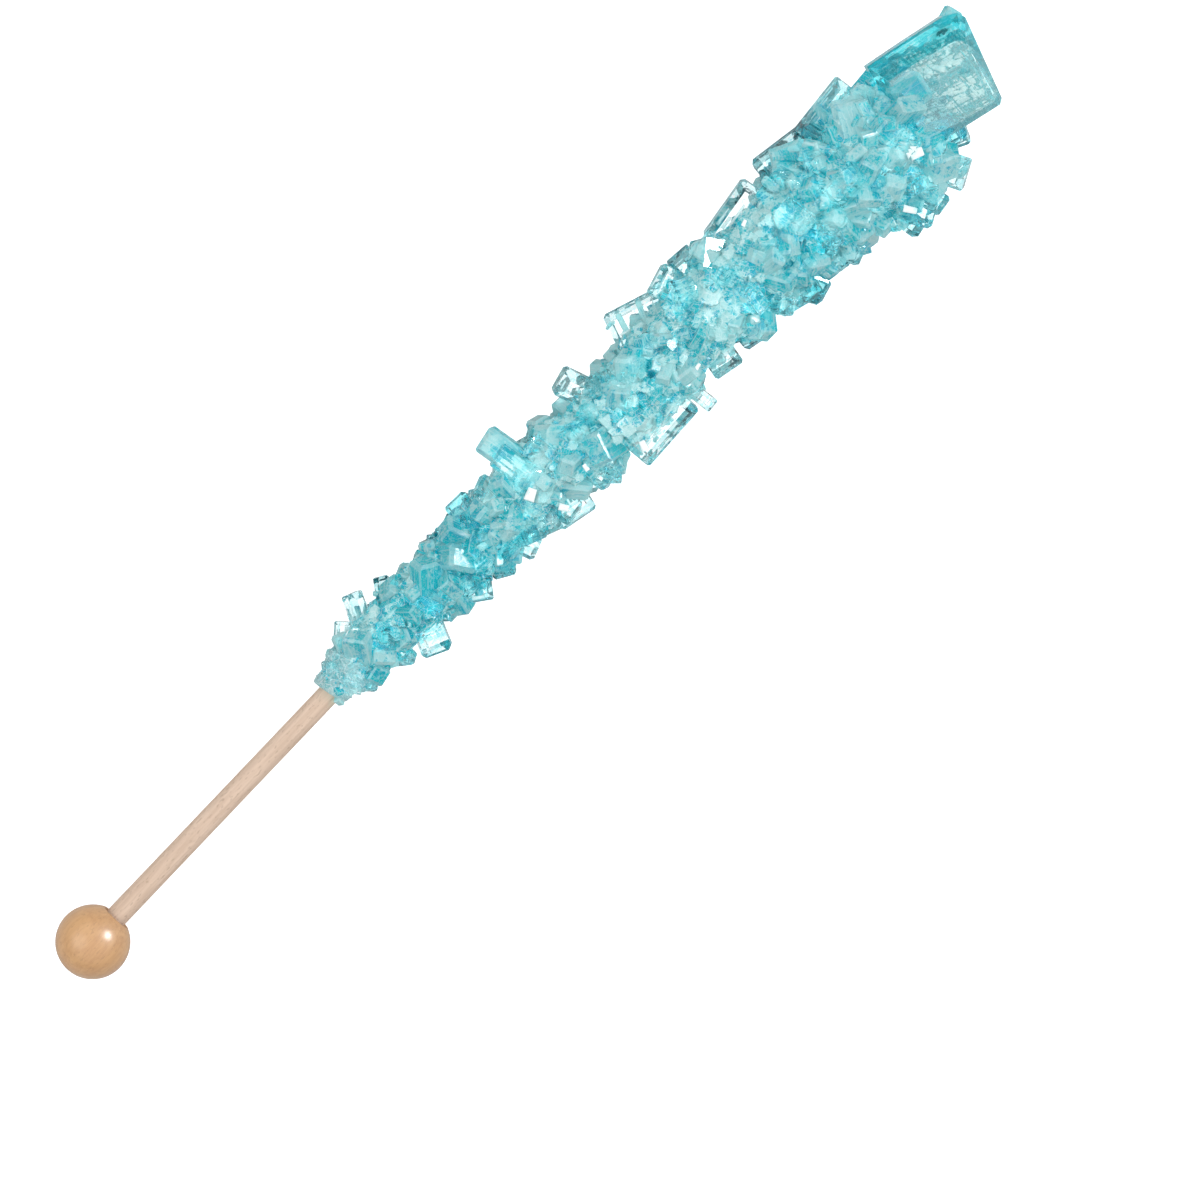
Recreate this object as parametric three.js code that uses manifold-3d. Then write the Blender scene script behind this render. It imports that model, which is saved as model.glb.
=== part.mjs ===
// A rock candy stick lying on its side: sugar crystals grown round a wooden dowel, with a wooden ball as
// its knob.
// Millimetres, +Z up. The stick runs along X, with the knob at -X and the candy at +X.
// It rests on the knob and on the lowest crystals, so its axis climbs a little towards the candy.
// Lengths along the stick are measured from the middle of the knob.
import * as THREE from "three";
import { mergeVertices } from "three/addons/utils/BufferGeometryUtils.js";
import Module from "manifold-3d";

const wasm = await Module();
wasm.setup();

// Wooden knob and dowel
const knobRadius = 5;
const knobFlatDepth = 0.12; // the small flat spot that the knob rests on
const dowelRadius = 1.5;
const dowelStart = -1.5; // the dowel's glued end, inside the knob
const dowelEnd = 146; // its other end, deep inside the candy
const fitGap = 0.3; // clearance of the dowel in the knob and in the candy
const boreChamfer = 0.35; // at the mouth of the knob's bore
const knobSides = 32;
const dowelSides = 24;
const boreSides = 16;

// Girth of the candy: at each place along the stick, how far its middle lies off the dowel's axis along Y,
// and the radius out to which its crystals grow. It leans over towards -Y and swells towards the tip.
const girth = [
  { at: 45.2, middle: 0.1, radius: 2.6 },
  { at: 50, middle: 0.2, radius: 3.5 },
  { at: 54, middle: 0.4, radius: 4.5 },
  { at: 64, middle: -0.1, radius: 4.8 },
  { at: 80, middle: -0.4, radius: 5.3 },
  { at: 88, middle: -0.6, radius: 5.6 },
  { at: 100, middle: -2.1, radius: 6.0 },
  { at: 114, middle: -1.2, radius: 6.5 },
  { at: 132, middle: -1.8, radius: 7.5 },
  { at: 146, middle: -3.5, radius: 9.2 },
  { at: 153, middle: -3.6, radius: 8.6 },
  { at: 156, middle: -3.6, radius: 6.2 },
  { at: 159.5, middle: -2.8, radius: 2.6 },
];
const candyStart = girth[0].at;
const candyEnd = girth[girth.length - 1].at;
const collarEnd = 50; // up to here the candy is a smooth sheared collar
const coreShare = 0.8; // of the radius: what is solid under the crystals
const coreSides = 18;
const coreStations = 18;

// Crystals that grow all over the candy
const crystalCount = 200;
const firstCrystal = 2.6; // how far above the candy's lower end they begin
const lowCrystal = 3.4; // usual size just above the collar
const highCrystal = 5.4; // usual size near the tip
const crowding = 1.08; // over 1, the crystals stand a little closer at the lower end
const collarShare = 0.7; // of the usual size, at the collar
const collarCrystals = 0.06; // the share of them that are smaller for the collar
const goldenAngle = Math.PI * (3 - Math.sqrt(5));

// How one crystal differs from the next: each pair is the smallest value and how much chance adds to it.
const vary = {
  round: [-0.35, 0.7], // radians round the stick, off the even spread
  size: [0.72, 0.5], // of the usual size
  length: [1.05, 0.5], // of its own size
  width: [0.68, 0.36],
  thickness: [0.5, 0.36],
  forward: [-0.714, 1.7], // lean along the stick, for 1 outwards
  sideways: [-0.75, 1.5],
  spin: [0, Math.PI],
  sunk: [0.3, 0.24], // of its length, how deep its middle lies under the candy's outline
  slant: [-0.18, 0.36],
};
const bevelShare = 0.16; // of the thinnest side of a crystal that stands out
const weldDistance = 1e-4;

// How far the axis climbs from the knob to the thick end of the candy
const restAt = 140;
const restHeight = 9.2;
const knobHeight = knobRadius - knobFlatDepth;
const climb = Math.asin((restHeight - knobHeight) / restAt);

// Large crystals that stand out by themselves: where each one is along the stick, across it and above its
// axis, how long, wide and thick it is, and its turn in the plan view, its pitch and its roll in degrees.
const standOuts = [
  { name: "end block", at: [159.7, -2.5, 3.4], size: [14.3, 13.8, 7.8], turn: [-18, -4, 8] },
  { name: "block on the end block", at: [156.2, -0.9, 6.4], size: [4.8, 4.4, 4.0], turn: [-8, -14, 15] },
  { name: "spike past the end block", at: [166.8, 2.0, 0.4], size: [4.0, 2.4, 2.6], turn: [14, 0, 30] },
  { name: "high plate", at: [147.2, 5.0, 0.8], size: [9.2, 4.4, 3.6], turn: [5, 6, 20] },
  { name: "middle plate", at: [139.5, 5.2, -0.6], size: [8.8, 4.4, 3.4], turn: [-9, -5, -25] },
  { name: "dark slab", at: [129.0, 4.3, 0.4], size: [9.4, 5.0, 4.0], turn: [8, 8, 10] },
  { name: "needle", at: [122.6, 5.2, 1.6], size: [5.4, 1.1, 1.4], turn: [4, 10, 0] },
  { name: "clear chip", at: [119.9, 5.3, -0.6], size: [3.6, 3.4, 2.6], turn: [-6, 12, 35] },
  { name: "square block", at: [116.2, 4.6, 1.4], size: [4.4, 4.4, 3.4], turn: [16, -10, 12] },
  { name: "clear slab", at: [109.9, 4.3, 0.2], size: [7.8, 5.6, 3.8], turn: [-19, 4, -14] },
  { name: "knuckle", at: [97.8, 4.4, 0.8], size: [4.0, 5.0, 3.8], turn: [14, 10, 20] },
  { name: "striped slab", at: [85.2, 4.6, 1.0], size: [8.0, 4.0, 3.2], turn: [-82, 8, 16] },
  { name: "eight sided chip", at: [56.4, 4.9, 0.8], size: [4.8, 2.8, 2.8], turn: [62, 6, 45] },
  { name: "small chip", at: [52.9, 4.4, 0.4], size: [2.8, 2.0, 1.8], turn: [40, 6, 20] },
  { name: "clear cube", at: [60.6, -4.9, 0.2], size: [4.2, 4.2, 3.8], turn: [-26, 6, 10] },
  { name: "small diamond", at: [65.3, -4.0, 0.2], size: [3.0, 2.2, 2.2], turn: [0, 8, 30] },
  { name: "low flat", at: [69.2, -4.5, 0.4], size: [4.6, 3.2, 2.6], turn: [-37, -8, 20] },
  { name: "low block", at: [74.0, -5.0, 0.4], size: [3.2, 2.8, 2.6], turn: [-31, 6, 20] },
  { name: "wedge", at: [81.6, -5.0, 0.6], size: [4.8, 3.2, 3.0], turn: [-22, 8, 40] },
  { name: "curved block", at: [86.0, -6.3, -0.4], size: [5.6, 3.6, 3.2], turn: [-12, -6, 30] },
  { name: "dark ended block", at: [91.8, -5.2, 1.6], size: [5.0, 3.4, 3.2], turn: [-80, 10, 20] },
  { name: "big plate", at: [101.9, -6.5, 1.0], size: [10.2, 6.4, 4.2], turn: [2, 5, 14] },
  { name: "bud", at: [108.4, -8.9, 0.2], size: [2.0, 3.6, 2.0], turn: [4, 4, 20] },
  { name: "clear block", at: [114.2, -6.3, 0.4], size: [4.4, 5.4, 3.8], turn: [-12, 0, 12] },
  { name: "beside the clear block", at: [119.6, -6.8, -0.6], size: [4.4, 4.6, 3.6], turn: [-12, 8, 30] },
  { name: "long clear prism", at: [127.2, -8.4, -0.2], size: [6.4, 3.4, 3.0], turn: [-16, 4, 16] },
  { name: "middle block", at: [133.2, -8.2, 0.8], size: [4.6, 4.2, 3.6], turn: [-12, 8, 30] },
  { name: "edge slab", at: [138.8, -9.0, -0.4], size: [6.8, 3.6, 3.2], turn: [-2, -6, 12] },
  { name: "bright block", at: [145.6, -11.0, 0.6], size: [7.6, 4.2, 3.6], turn: [-62, 4, 10] },
  { name: "chip beside the bright block", at: [148.6, -12.8, 0.4], size: [3.0, 3.6, 2.4], turn: [8, 6, 14] },
  { name: "high wedge", at: [152.6, -10.8, 0.2], size: [6.8, 4.4, 3.6], turn: [-66, 8, 24] },
  { name: "block under the end block", at: [156.4, -8.4, -1.0], size: [4.8, 4.0, 3.6], turn: [-28, 8, 20] },
  { name: "first foot", at: [148.0, -7.0, -7.8], size: [6.0, 5.0, 4.4], turn: [20, 4, 3] },
  { name: "second foot", at: [137.0, 2.4, -7.4], size: [6.2, 5.0, 4.2], turn: [-14, 2, -4] },
  { name: "third foot", at: [127.0, -4.8, -7.2], size: [5.6, 4.6, 4.0], turn: [30, 2, 4] },
];

// A repeatable number from 0 to 1 for crystal i and purpose k.
function chance(i, k) {
  const v = Math.sin(i * 12.9898 + k * 78.233) * 43758.5453;
  return v - Math.floor(v);
}

// What chance gives crystal i for one of the ways in which crystals vary.
function draw(i, way) {
  const [least, more] = vary[way];
  return least + more * chance(i, Object.keys(vary).indexOf(way) + 1);
}

function mix(a, b, share) {
  return a + (b - a) * share;
}

function smooth(from, to, x) {
  const t = Math.min(Math.max((x - from) / (to - from), 0), 1);
  return t * t * (3 - 2 * t);
}

// The candy's middle and radius at a place along the stick, on straight lines between its girth's stations.
function girthAt(x) {
  const above = girth.findIndex((station) => station.at >= x);
  const next = above < 0 ? girth.length - 1 : Math.max(above, 1);
  const a = girth[next - 1];
  const b = girth[next];
  const share = (x - a.at) / (b.at - a.at);
  return { middle: mix(a.middle, b.middle, share), radius: mix(a.radius, b.radius, share) };
}

// A closed mesh as a solid.
function solidOf(geometry) {
  const plain = new THREE.BufferGeometry();
  plain.setAttribute("position", geometry.getAttribute("position"));
  plain.setIndex(geometry.index);
  const merged = mergeVertices(plain, weldDistance);
  return new wasm.Manifold(
    new wasm.Mesh({
      numProp: 3,
      vertProperties: merged.getAttribute("position").array,
      triVerts: new Uint32Array(merged.index.array),
    }),
  );
}

function geometryOf(solid) {
  const mesh = solid.getMesh();
  const geometry = new THREE.BufferGeometry();
  geometry.setAttribute("position", new THREE.BufferAttribute(mesh.vertProperties, mesh.numProp));
  geometry.setIndex(new THREE.BufferAttribute(mesh.triVerts, 1));
  geometry.computeVertexNormals();
  return geometry;
}

// Turns a shape that was made round +Y into one round the stick's axis.
function alongStick(geometry) {
  return geometry.rotateZ(-Math.PI / 2);
}

// A round bar along the stick from one place to another.
function bar(radius, from, to, sides) {
  const cylinder = new THREE.CylinderGeometry(radius, radius, to - from, sides);
  return alongStick(cylinder).translate((from + to) / 2, 0, 0);
}

// The knob is a ball turned with a blind bore, whose mouth has a small chamfer.
function knobGeometry() {
  const boreRadius = dowelRadius + fitGap;
  const boreBottom = dowelStart - fitGap;
  const mouthRadius = boreRadius + boreChamfer;
  const mouthAngle = Math.asin(mouthRadius / knobRadius);
  const mouth = knobRadius * Math.cos(mouthAngle);
  const arcSteps = 14;
  const profile = [new THREE.Vector2(0, -knobRadius)];
  for (let i = 1; i <= arcSteps; i++) {
    const a = Math.PI - (Math.PI - mouthAngle) * (i / arcSteps);
    profile.push(new THREE.Vector2(knobRadius * Math.sin(a), knobRadius * Math.cos(a)));
  }
  profile.push(new THREE.Vector2(boreRadius, mouth - boreChamfer));
  profile.push(new THREE.Vector2(boreRadius, boreBottom));
  profile.push(new THREE.Vector2(0, boreBottom));
  return alongStick(new THREE.LatheGeometry(profile, knobSides));
}

// The solid heart of the candy, a turned shape that leans with the candy.
function coreGeometry() {
  const profile = [new THREE.Vector2(0, candyStart)];
  for (let i = 0; i <= coreStations; i++) {
    const x = mix(candyStart, candyEnd, i / coreStations);
    const share = mix(1, coreShare, smooth(candyStart, collarEnd, x));
    profile.push(new THREE.Vector2(girthAt(x).radius * share, x));
  }
  profile.push(new THREE.Vector2(0, candyEnd));
  const geometry = alongStick(new THREE.LatheGeometry(profile, coreSides));
  const place = geometry.getAttribute("position");
  for (let i = 0; i < place.count; i++) {
    place.setY(i, place.getY(i) + girthAt(place.getX(i)).middle);
  }
  return geometry;
}

// A plain block of sugar, long along Z, leaning by a slant.
function plainCrystal(length, width, thickness, slant) {
  const lean = new THREE.Matrix4().makeShear(0, 0, 0, 0, slant, 0);
  return new THREE.BoxGeometry(width, thickness, length).applyMatrix4(lean);
}

// A block of sugar with bevelled ends, long along Z.
function bevelledCrystal(length, width, thickness) {
  const bevel = bevelShare * Math.min(width, thickness, length);
  const halfWidth = width / 2 - bevel;
  const halfThickness = thickness / 2 - bevel;
  const outline = new THREE.Shape([
    new THREE.Vector2(-halfWidth, -halfThickness),
    new THREE.Vector2(halfWidth, -halfThickness),
    new THREE.Vector2(halfWidth, halfThickness),
    new THREE.Vector2(-halfWidth, halfThickness),
  ]);
  const depth = length - 2 * bevel;
  const block = new THREE.ExtrudeGeometry(outline, {
    depth,
    steps: 1,
    bevelThickness: bevel,
    bevelSize: bevel,
    bevelSegments: 1,
  });
  return block.translate(0, 0, -depth / 2);
}

// The crystals that cover the candy, spread by the golden angle. Each one points outwards with a lean of
// its own.
function coveringCrystals() {
  const made = [];
  for (let i = 0; i < crystalCount; i++) {
    const along = Math.pow((i + 0.5) / crystalCount, crowding);
    const x = mix(candyStart + firstCrystal, candyEnd, along);
    const { middle, radius } = girthAt(x);
    const around = i * goldenAngle + draw(i, "round");
    const usual = mix(lowCrystal, highCrystal, along) * mix(collarShare, 1, smooth(0, collarCrystals, along));
    const size = usual * draw(i, "size");
    const length = size * draw(i, "length");
    const width = size * draw(i, "width");
    const thickness = size * draw(i, "thickness");
    const outward = new THREE.Vector3(0, Math.cos(around), Math.sin(around));
    const forward = new THREE.Vector3(1, 0, 0);
    const sideways = new THREE.Vector3().crossVectors(outward, forward);
    const long = outward
      .clone()
      .addScaledVector(forward, draw(i, "forward"))
      .addScaledVector(sideways, draw(i, "sideways"))
      .normalize();
    const spin = draw(i, "spin");
    const first = new THREE.Vector3().crossVectors(long, forward).normalize();
    const second = new THREE.Vector3().crossVectors(long, first);
    const across = first.clone().multiplyScalar(Math.cos(spin)).addScaledVector(second, Math.sin(spin));
    const through = new THREE.Vector3().crossVectors(long, across);
    const reach = radius - length * long.dot(outward) * draw(i, "sunk");
    const turn = new THREE.Matrix4().makeBasis(across, through, long);
    turn.setPosition(x, middle + outward.y * reach, outward.z * reach);
    made.push(plainCrystal(length, width, thickness, draw(i, "slant")).applyMatrix4(turn));
  }
  return made;
}

function standOutCrystal({ at, size, turn }) {
  const [yaw, pitch, roll] = turn.map(THREE.MathUtils.degToRad);
  const [length, width, thickness] = size;
  const block = bevelledCrystal(thickness, length, width);
  const euler = new THREE.Euler(roll, -pitch, yaw, "ZYX");
  return block.applyMatrix4(new THREE.Matrix4().makeRotationFromEuler(euler)).translate(...at);
}

// Everything below the surface that the part lies on, in the stick's own leaning frame.
function underFloor() {
  const size = 2 * candyEnd;
  const block = new THREE.BoxGeometry(size, size, size).translate(candyEnd / 2, 0, -size / 2);
  return solidOf(block.translate(0, 0, -knobHeight).rotateY(climb));
}

// The heart and all crystals as one solid, bored for the dowel. Hollows that the crystals seal are filled.
function candyGeometry() {
  const pieces = [coreGeometry(), ...standOuts.map(standOutCrystal), ...coveringCrystals()].map(solidOf);
  const joined = wasm.Manifold.union(pieces);
  const boreStart = candyStart - dowelRadius;
  const bore = solidOf(bar(dowelRadius + fitGap, boreStart, dowelEnd + fitGap, boreSides));
  const bodies = joined.subtract(bore).subtract(underFloor()).decompose();
  bodies.sort((a, b) => b.volume() - a.volume());
  return geometryOf(bodies[0]);
}

function piece(name, geometry, look) {
  const mesh = new THREE.Mesh(geometry, new THREE.MeshStandardMaterial(look));
  mesh.name = name;
  return mesh;
}

const varnishedWood = { color: 0xd3aa82, roughness: 0.3, metalness: 0 };
const rawWood = { color: 0xd8c2ae, roughness: 0.7, metalness: 0 };
const tealSugar = { color: 0x78ccd4, roughness: 0.1, metalness: 0 };

const stick = new THREE.Group();
stick.add(piece("ball_knob", geometryOf(solidOf(knobGeometry()).subtract(underFloor())), varnishedWood));
stick.add(piece("dowel", bar(dowelRadius, dowelStart, dowelEnd, dowelSides), rawWood));
stick.add(piece("candy", candyGeometry(), tealSugar));
stick.rotation.y = -climb;
stick.position.z = knobHeight;

// The part's origin is on the floor under the middle of its box.
const part = new THREE.Group();
part.add(stick);
const middle = new THREE.Box3().setFromObject(part, true).getCenter(new THREE.Vector3());
part.position.set(-middle.x, -middle.y, 0);

export default part;
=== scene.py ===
# Rock candy stick lying on a pale surface: teal sugar crystals on a birch dowel with a varnished ball.
# Sizes are millimetres, apart from the studio's and those of finished meshes, which are metres in the frame.
import math

import bpy
import numpy as np
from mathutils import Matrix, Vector


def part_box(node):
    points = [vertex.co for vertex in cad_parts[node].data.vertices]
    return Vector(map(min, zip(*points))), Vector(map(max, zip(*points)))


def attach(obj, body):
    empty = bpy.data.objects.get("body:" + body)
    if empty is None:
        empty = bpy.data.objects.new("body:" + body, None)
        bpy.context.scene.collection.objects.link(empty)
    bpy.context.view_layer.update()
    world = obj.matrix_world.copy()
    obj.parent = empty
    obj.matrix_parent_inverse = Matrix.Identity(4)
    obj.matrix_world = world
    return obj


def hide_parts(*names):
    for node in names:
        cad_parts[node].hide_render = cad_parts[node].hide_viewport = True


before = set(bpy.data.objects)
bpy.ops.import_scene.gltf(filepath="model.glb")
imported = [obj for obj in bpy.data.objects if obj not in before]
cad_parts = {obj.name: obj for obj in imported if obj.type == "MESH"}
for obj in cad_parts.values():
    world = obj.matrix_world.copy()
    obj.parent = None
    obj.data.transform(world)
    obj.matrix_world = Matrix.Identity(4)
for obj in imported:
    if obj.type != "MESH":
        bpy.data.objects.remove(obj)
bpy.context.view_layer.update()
mm = 0.001
golden = math.pi * (3 - math.sqrt(5))

stick = {
    "knobRadius": 5.0,
    "knobFlatDepth": 0.12,
    "boreRadius": 1.8,
    "boreBottom": -1.8,
    "boreChamfer": 0.35,
    "knobRings": 120,
    "knobSides": 160,
    "restAt": 140.0,  # here the axis stands restHeight above the surface
    "restHeight": 9.2,
}

# Girth of the candy: place along the stick, how far its middle lies off the dowel's axis, and its radius
girth = np.array([
    (45.2, 0.1, 2.6),
    (50.0, 0.2, 3.5),
    (54.0, 0.4, 4.5),
    (64.0, -0.1, 4.8),
    (80.0, -0.4, 5.3),
    (88.0, -0.6, 5.6),
    (100.0, -2.1, 6.0),
    (114.0, -1.2, 6.5),
    (132.0, -1.8, 7.5),
    (146.0, -3.5, 9.2),
    (153.0, -3.6, 8.6),
    (156.0, -3.6, 6.2),
    (159.5, -2.8, 2.6),
])
candyStart, candyEnd = girth[0, 0], girth[-1, 0]

# Where the dye gathered: place along the stick and across it, reach, and how much deeper the teal is there
dyePools = np.array([
    (57.0, -1.5, 5.0, 0.35),
    (66.0, -0.8, 5.0, 0.40),
    (73.3, 1.2, 4.0, 0.55),
    (84.0, -1.0, 8.0, -0.15),
    (104.0, -3.0, 12.0, -0.10),
    (130.4, -6.3, 3.0, 0.35),
    (141.0, 1.0, 6.0, 0.15),
    (155.9, -1.9, 3.5, 0.7),
])

# Painted shade on the corners of the large clear crystals, which turn the light away there, painted
# near-black:
# place along and across, reach and depth
paintedShadeCorners = np.array([
    (155.4, -8.9, 0.8, 1.0),
    (131.6, 6.3, 1.3, 1.0),
    (114.4, -8.4, 1.3, 1.0),
    (105.6, -9.5, 1.2, 1.0),
    (91.3, -7.3, 0.8, 0.9),
    (86.9, -6.6, 0.8, 0.7),
    (78.1, -5.3, 0.7, 0.8),
    (72.0, -5.2, 0.7, 0.9),
    (65.0, -4.8, 0.8, 1.0),
    (60.0, 5.0, 0.7, 0.5),
    (85.6, 6.6, 0.8, 0.5),
])

# The knob's middle and the climb of the stick's axis carry everything that is placed along the stick
knobLow, knobHigh = (np.array(corner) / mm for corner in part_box("ball_knob"))
knobHeight = stick["knobRadius"] - stick["knobFlatDepth"]
climb = math.asin((stick["restHeight"] - knobHeight) / stick["restAt"])
knobMiddle = np.array([
    knobLow[0] + stick["knobRadius"] * math.cos(climb),
    (knobLow[1] + knobHigh[1]) / 2,
    knobHeight,
])
stickTurn = np.array([
    (math.cos(climb), 0.0, -math.sin(climb)),
    (0.0, 1.0, 0.0),
    (math.sin(climb), 0.0, math.cos(climb)),
])


# Points along the stick in millimetres, turned by the climb and set on the knob, as metres in the frame
def toFrame(points):
    return (points @ stickTurn.T + knobMiddle) * mm


# A repeatable number from 0 to 1: the fraction of a large multiple of a sine of i and k
def chance(i, k):
    v = np.sin(i * 12.9898 + k * 78.233) * 43758.5453
    return v - np.floor(v)


def smooth(low, high, x):
    t = np.clip((x - low) / (high - low), 0, 1)
    return t * t * (3 - 2 * t)


def normalised(v):
    return v / np.linalg.norm(v, axis=-1, keepdims=True)


# Middle and radius of the candy at x, on straight lines between the girth's stations
def girthAt(x):
    return np.interp(x, girth[:, 0], girth[:, 1]), np.interp(x, girth[:, 0], girth[:, 2])


# The sum of pools at places along the stick, each pool fading as a bell curve of the distance from its
# middle
def pooled(pools, places):
    away = (places[..., None, :2] - pools[:, :2]) / pools[:, 2:3]
    return (np.exp(-(away ** 2).sum(-1)) * pools[:, 3]).sum(-1)


# A block with every edge cut off: 8 corners of 3 points each, and its 6 sides, 12 edge strips and 8 corner
# triangles as lists of point numbers that run counter-clockwise seen from outside
def crystalTemplate():
    signs = np.array([(x, y, z) for x in (-1, 1) for y in (-1, 1) for z in (-1, 1)])
    at = {tuple(s): n for n, s in enumerate(signs.tolist())}
    sample = np.repeat(signs * 0.7, 3, axis=0)
    sample[np.arange(24), np.tile([0, 1, 2], 8)] = signs.reshape(-1)
    faces = []
    for axis in range(3):
        b, c = (axis + 1) % 3, (axis + 2) % 3
        for side in (-1, 1):
            ring = []
            for u, v in ((-1, -1), (1, -1), (1, 1), (-1, 1)):
                key = [0, 0, 0]
                key[axis], key[b], key[c] = side, u, v
                ring.append(at[tuple(key)] * 3 + axis)
            faces.append(ring)
        for u in (-1, 1):
            for v in (-1, 1):
                strip = []
                for end, which in ((-1, b), (1, b), (1, c), (-1, c)):
                    key = [0, 0, 0]
                    key[axis], key[b], key[c] = end, u, v
                    strip.append(at[tuple(key)] * 3 + which)
                faces.append(strip)
    faces += [[corner * 3, corner * 3 + 1, corner * 3 + 2] for corner in range(8)]
    outward = [np.dot(np.cross(*(sample[f[1:3]] - sample[f[:2]])), sample[f].mean(0)) > 0 for f in faces]
    return signs, [f if out else f[::-1] for f, out in zip(faces, outward)]


templateSigns, templateFaces = crystalTemplate()


# Points of many crystals. Each one is a block of half sizes along its own three axes, with its edges cut
# by cuts, leaning by slant and narrowing by taper towards its far end, turned by its axes and set at its
# middle.
def crystalPoints(middles, axes, halves, cuts, slants, tapers):
    count = len(middles)
    local = np.empty((count, 8, 3, 3))
    for axis in range(3):
        for other in range(3):
            third = 3 - axis - other
            reach = halves[:, other] - (cuts[:, third] if other != axis else 0)
            local[:, :, axis, other] = templateSigns[:, other] * reach[:, None]
    local = local.reshape(count, 24, 3)
    narrow = 1 - tapers[:, None] * local[:, :, 2] / halves[:, 2, None]
    shaped = local.copy()
    shaped[:, :, 0] *= narrow
    shaped[:, :, 1] = shaped[:, :, 1] * narrow + slants[:, None] * local[:, :, 2]
    return np.einsum("nij,nkj->nki", axes, shaped) + middles[:, None, :], local


# Crystals that belong together: their points in metres, lifted where they would reach below the surface,
# each one's depth of teal, and its own coordinates in millimetres for streaks that follow it
def crystalGroup(middles, axes, halves, cuts, slants, tapers, dye):
    points, local = crystalPoints(middles, axes, halves, cuts, slants, tapers)
    placed = toFrame(points)
    placed[:, :, 2] += np.clip(-placed[:, :, 2].min(1), 0, None)[:, None]
    shift = chance(np.arange(len(middles), dtype=float)[:, None], np.array([51.0, 52.0, 53.0])) * 60
    depth = np.clip(dye + pooled(dyePools, middles), 0, 1.4)
    return {
        "middles": middles,
        "axes": axes,
        "halves": halves,
        "points": placed,
        "own": local + shift[:, None, :],
        "dye": np.repeat(depth[:, None], 24, axis=1),
        # Painted shade: how near-black each corner is painted, near the listed dark corners
        "dark": np.clip(pooled(paintedShadeCorners, points), 0, 1),
    }


def joined(groups):
    return {key: np.concatenate([g[key] for g in groups]) for key in groups[0]}


def chosen(group, which):
    return {key: value[which] for key, value in group.items()}


# A mesh object at the origin from points in metres. Each attribute holds a number or three numbers for a
# point, and edge, where it is given, a number for a face.
def makeMesh(name, points, faces, attributes, edge=None):
    mesh = bpy.data.meshes.new(name)
    mesh.from_pydata(points, [], faces)
    for key, numbers in attributes.items():
        numbers = np.asarray(numbers, np.float32)
        if numbers.ndim == 1:
            mesh.attributes.new(key, "FLOAT", "POINT").data.foreach_set("value", numbers)
        else:
            mesh.attributes.new(key, "FLOAT_VECTOR", "POINT").data.foreach_set("vector", numbers.reshape(-1))
    if edge is not None:
        mesh.attributes.new("edge", "FLOAT", "FACE").data.foreach_set("value", np.asarray(edge, np.float32))
    mesh.update()
    piece = bpy.data.objects.new(name, mesh)
    bpy.context.scene.collection.objects.link(piece)
    return piece


# Faces of a closed tube of rings of points that are followed by its two end points
def tubeFaces(rings, sides):
    i, j = np.meshgrid(np.arange(rings - 1) * sides, np.arange(sides), indexing="ij")
    k = (j + 1) % sides
    quads = np.stack([i + j, i + k, i + sides + k, i + sides + j], -1).reshape(-1, 4)
    j = np.arange(sides)
    k = (j + 1) % sides
    last = (rings - 1) * sides
    first = np.stack([np.full(sides, rings * sides), k, j], -1)
    final = np.stack([np.full(sides, rings * sides + 1), last + j, last + k], -1)
    return quads.tolist() + np.concatenate([first, final]).tolist()


# The crystals of a group as one piece: rims says how much its edge strips show the painted rim colour,
# and corners how much painted shade its dark corners take
def crystalPiece(name, group, rims=1.0, corners=0.0):
    count = len(group["points"])
    sides = np.array([face for face in templateFaces if len(face) == 4])
    tips = np.array([face for face in templateFaces if len(face) == 3])
    step = (24 * np.arange(count))[:, None, None]
    faces = (sides + step).reshape(-1, 4).tolist() + (tips + step).reshape(-1, 3).tolist()
    isStrip = [len({point % 3 for point in face}) > 1 for face in sides.tolist()]
    edge = rims * np.concatenate([np.tile(isStrip, count), np.ones(count * len(tips))])
    attributes = {
        "dye": group["dye"].reshape(-1),
        "dark": corners * group["dark"].reshape(-1),
        "own": group["own"].reshape(-1, 3),
    }
    return makeMesh(name, group["points"].reshape(-1, 3), faces, attributes, edge)


holding = {
    "shares": (-0.85, -0.4, 0.0, 0.4, 0.85),  # where the points lie on a middle line, for a half of 1
    "endBlock": (6.4, 3.2, 6.2),  # half sizes of a box inside the end block
    "neighbour": 0.88,  # share of another crystal's half sizes that a point has to be inside of
}


# Which crystals of a group are held by what they grow on: whether a point on one of their three middle
# lines lies inside the heart, the end block, or one of the other crystals
def held(group, others):
    share = np.array(holding["shares"])
    reach = np.einsum("nij,nj,s->njsi", group["axes"], group["halves"], share)
    line = group["middles"][:, None, :] + reach.reshape(-1, 3 * len(share), 3)
    middle, radius = girthAt(line[..., 0])
    deep = radius * heart["share"] - 0.5 * heart["step"] * np.clip(radius / 6, 0.4, 1)
    inHeart = (np.hypot(line[..., 1] - middle, line[..., 2]) < deep) & (line[..., 0] > heart["starts"])
    offset = np.abs((line - np.array(endBlock["at"])) @ endBlockAxes()[0])
    inBlock = (offset < holding["endBlock"]).all(-1)
    away = line[:, :, None, :] - others["middles"]
    local = np.abs(np.einsum("mji,npmj->npmi", others["axes"], away))
    inOther = (local < holding["neighbour"] * others["halves"]).all(-1).any(-1)
    return (inHeart | inBlock | inOther).any(1)


# Axes of crystals that point out of the candy: outwards plus a lean along and round it, spun on themselves
def outwardAxes(around, forward, sideways, spin):
    zero = np.zeros_like(around)
    outward = np.stack([zero, np.cos(around), np.sin(around)], -1)
    along = np.array([1.0, 0.0, 0.0])
    across = np.cross(outward, along)
    long = normalised(outward + along * forward[:, None] + across * sideways[:, None])
    first = normalised(np.cross(long, along))
    second = np.cross(long, first)
    wide = first * np.cos(spin)[:, None] + second * np.sin(spin)[:, None]
    return outward, long, np.stack([wide, np.cross(long, wide), long], -1)


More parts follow.
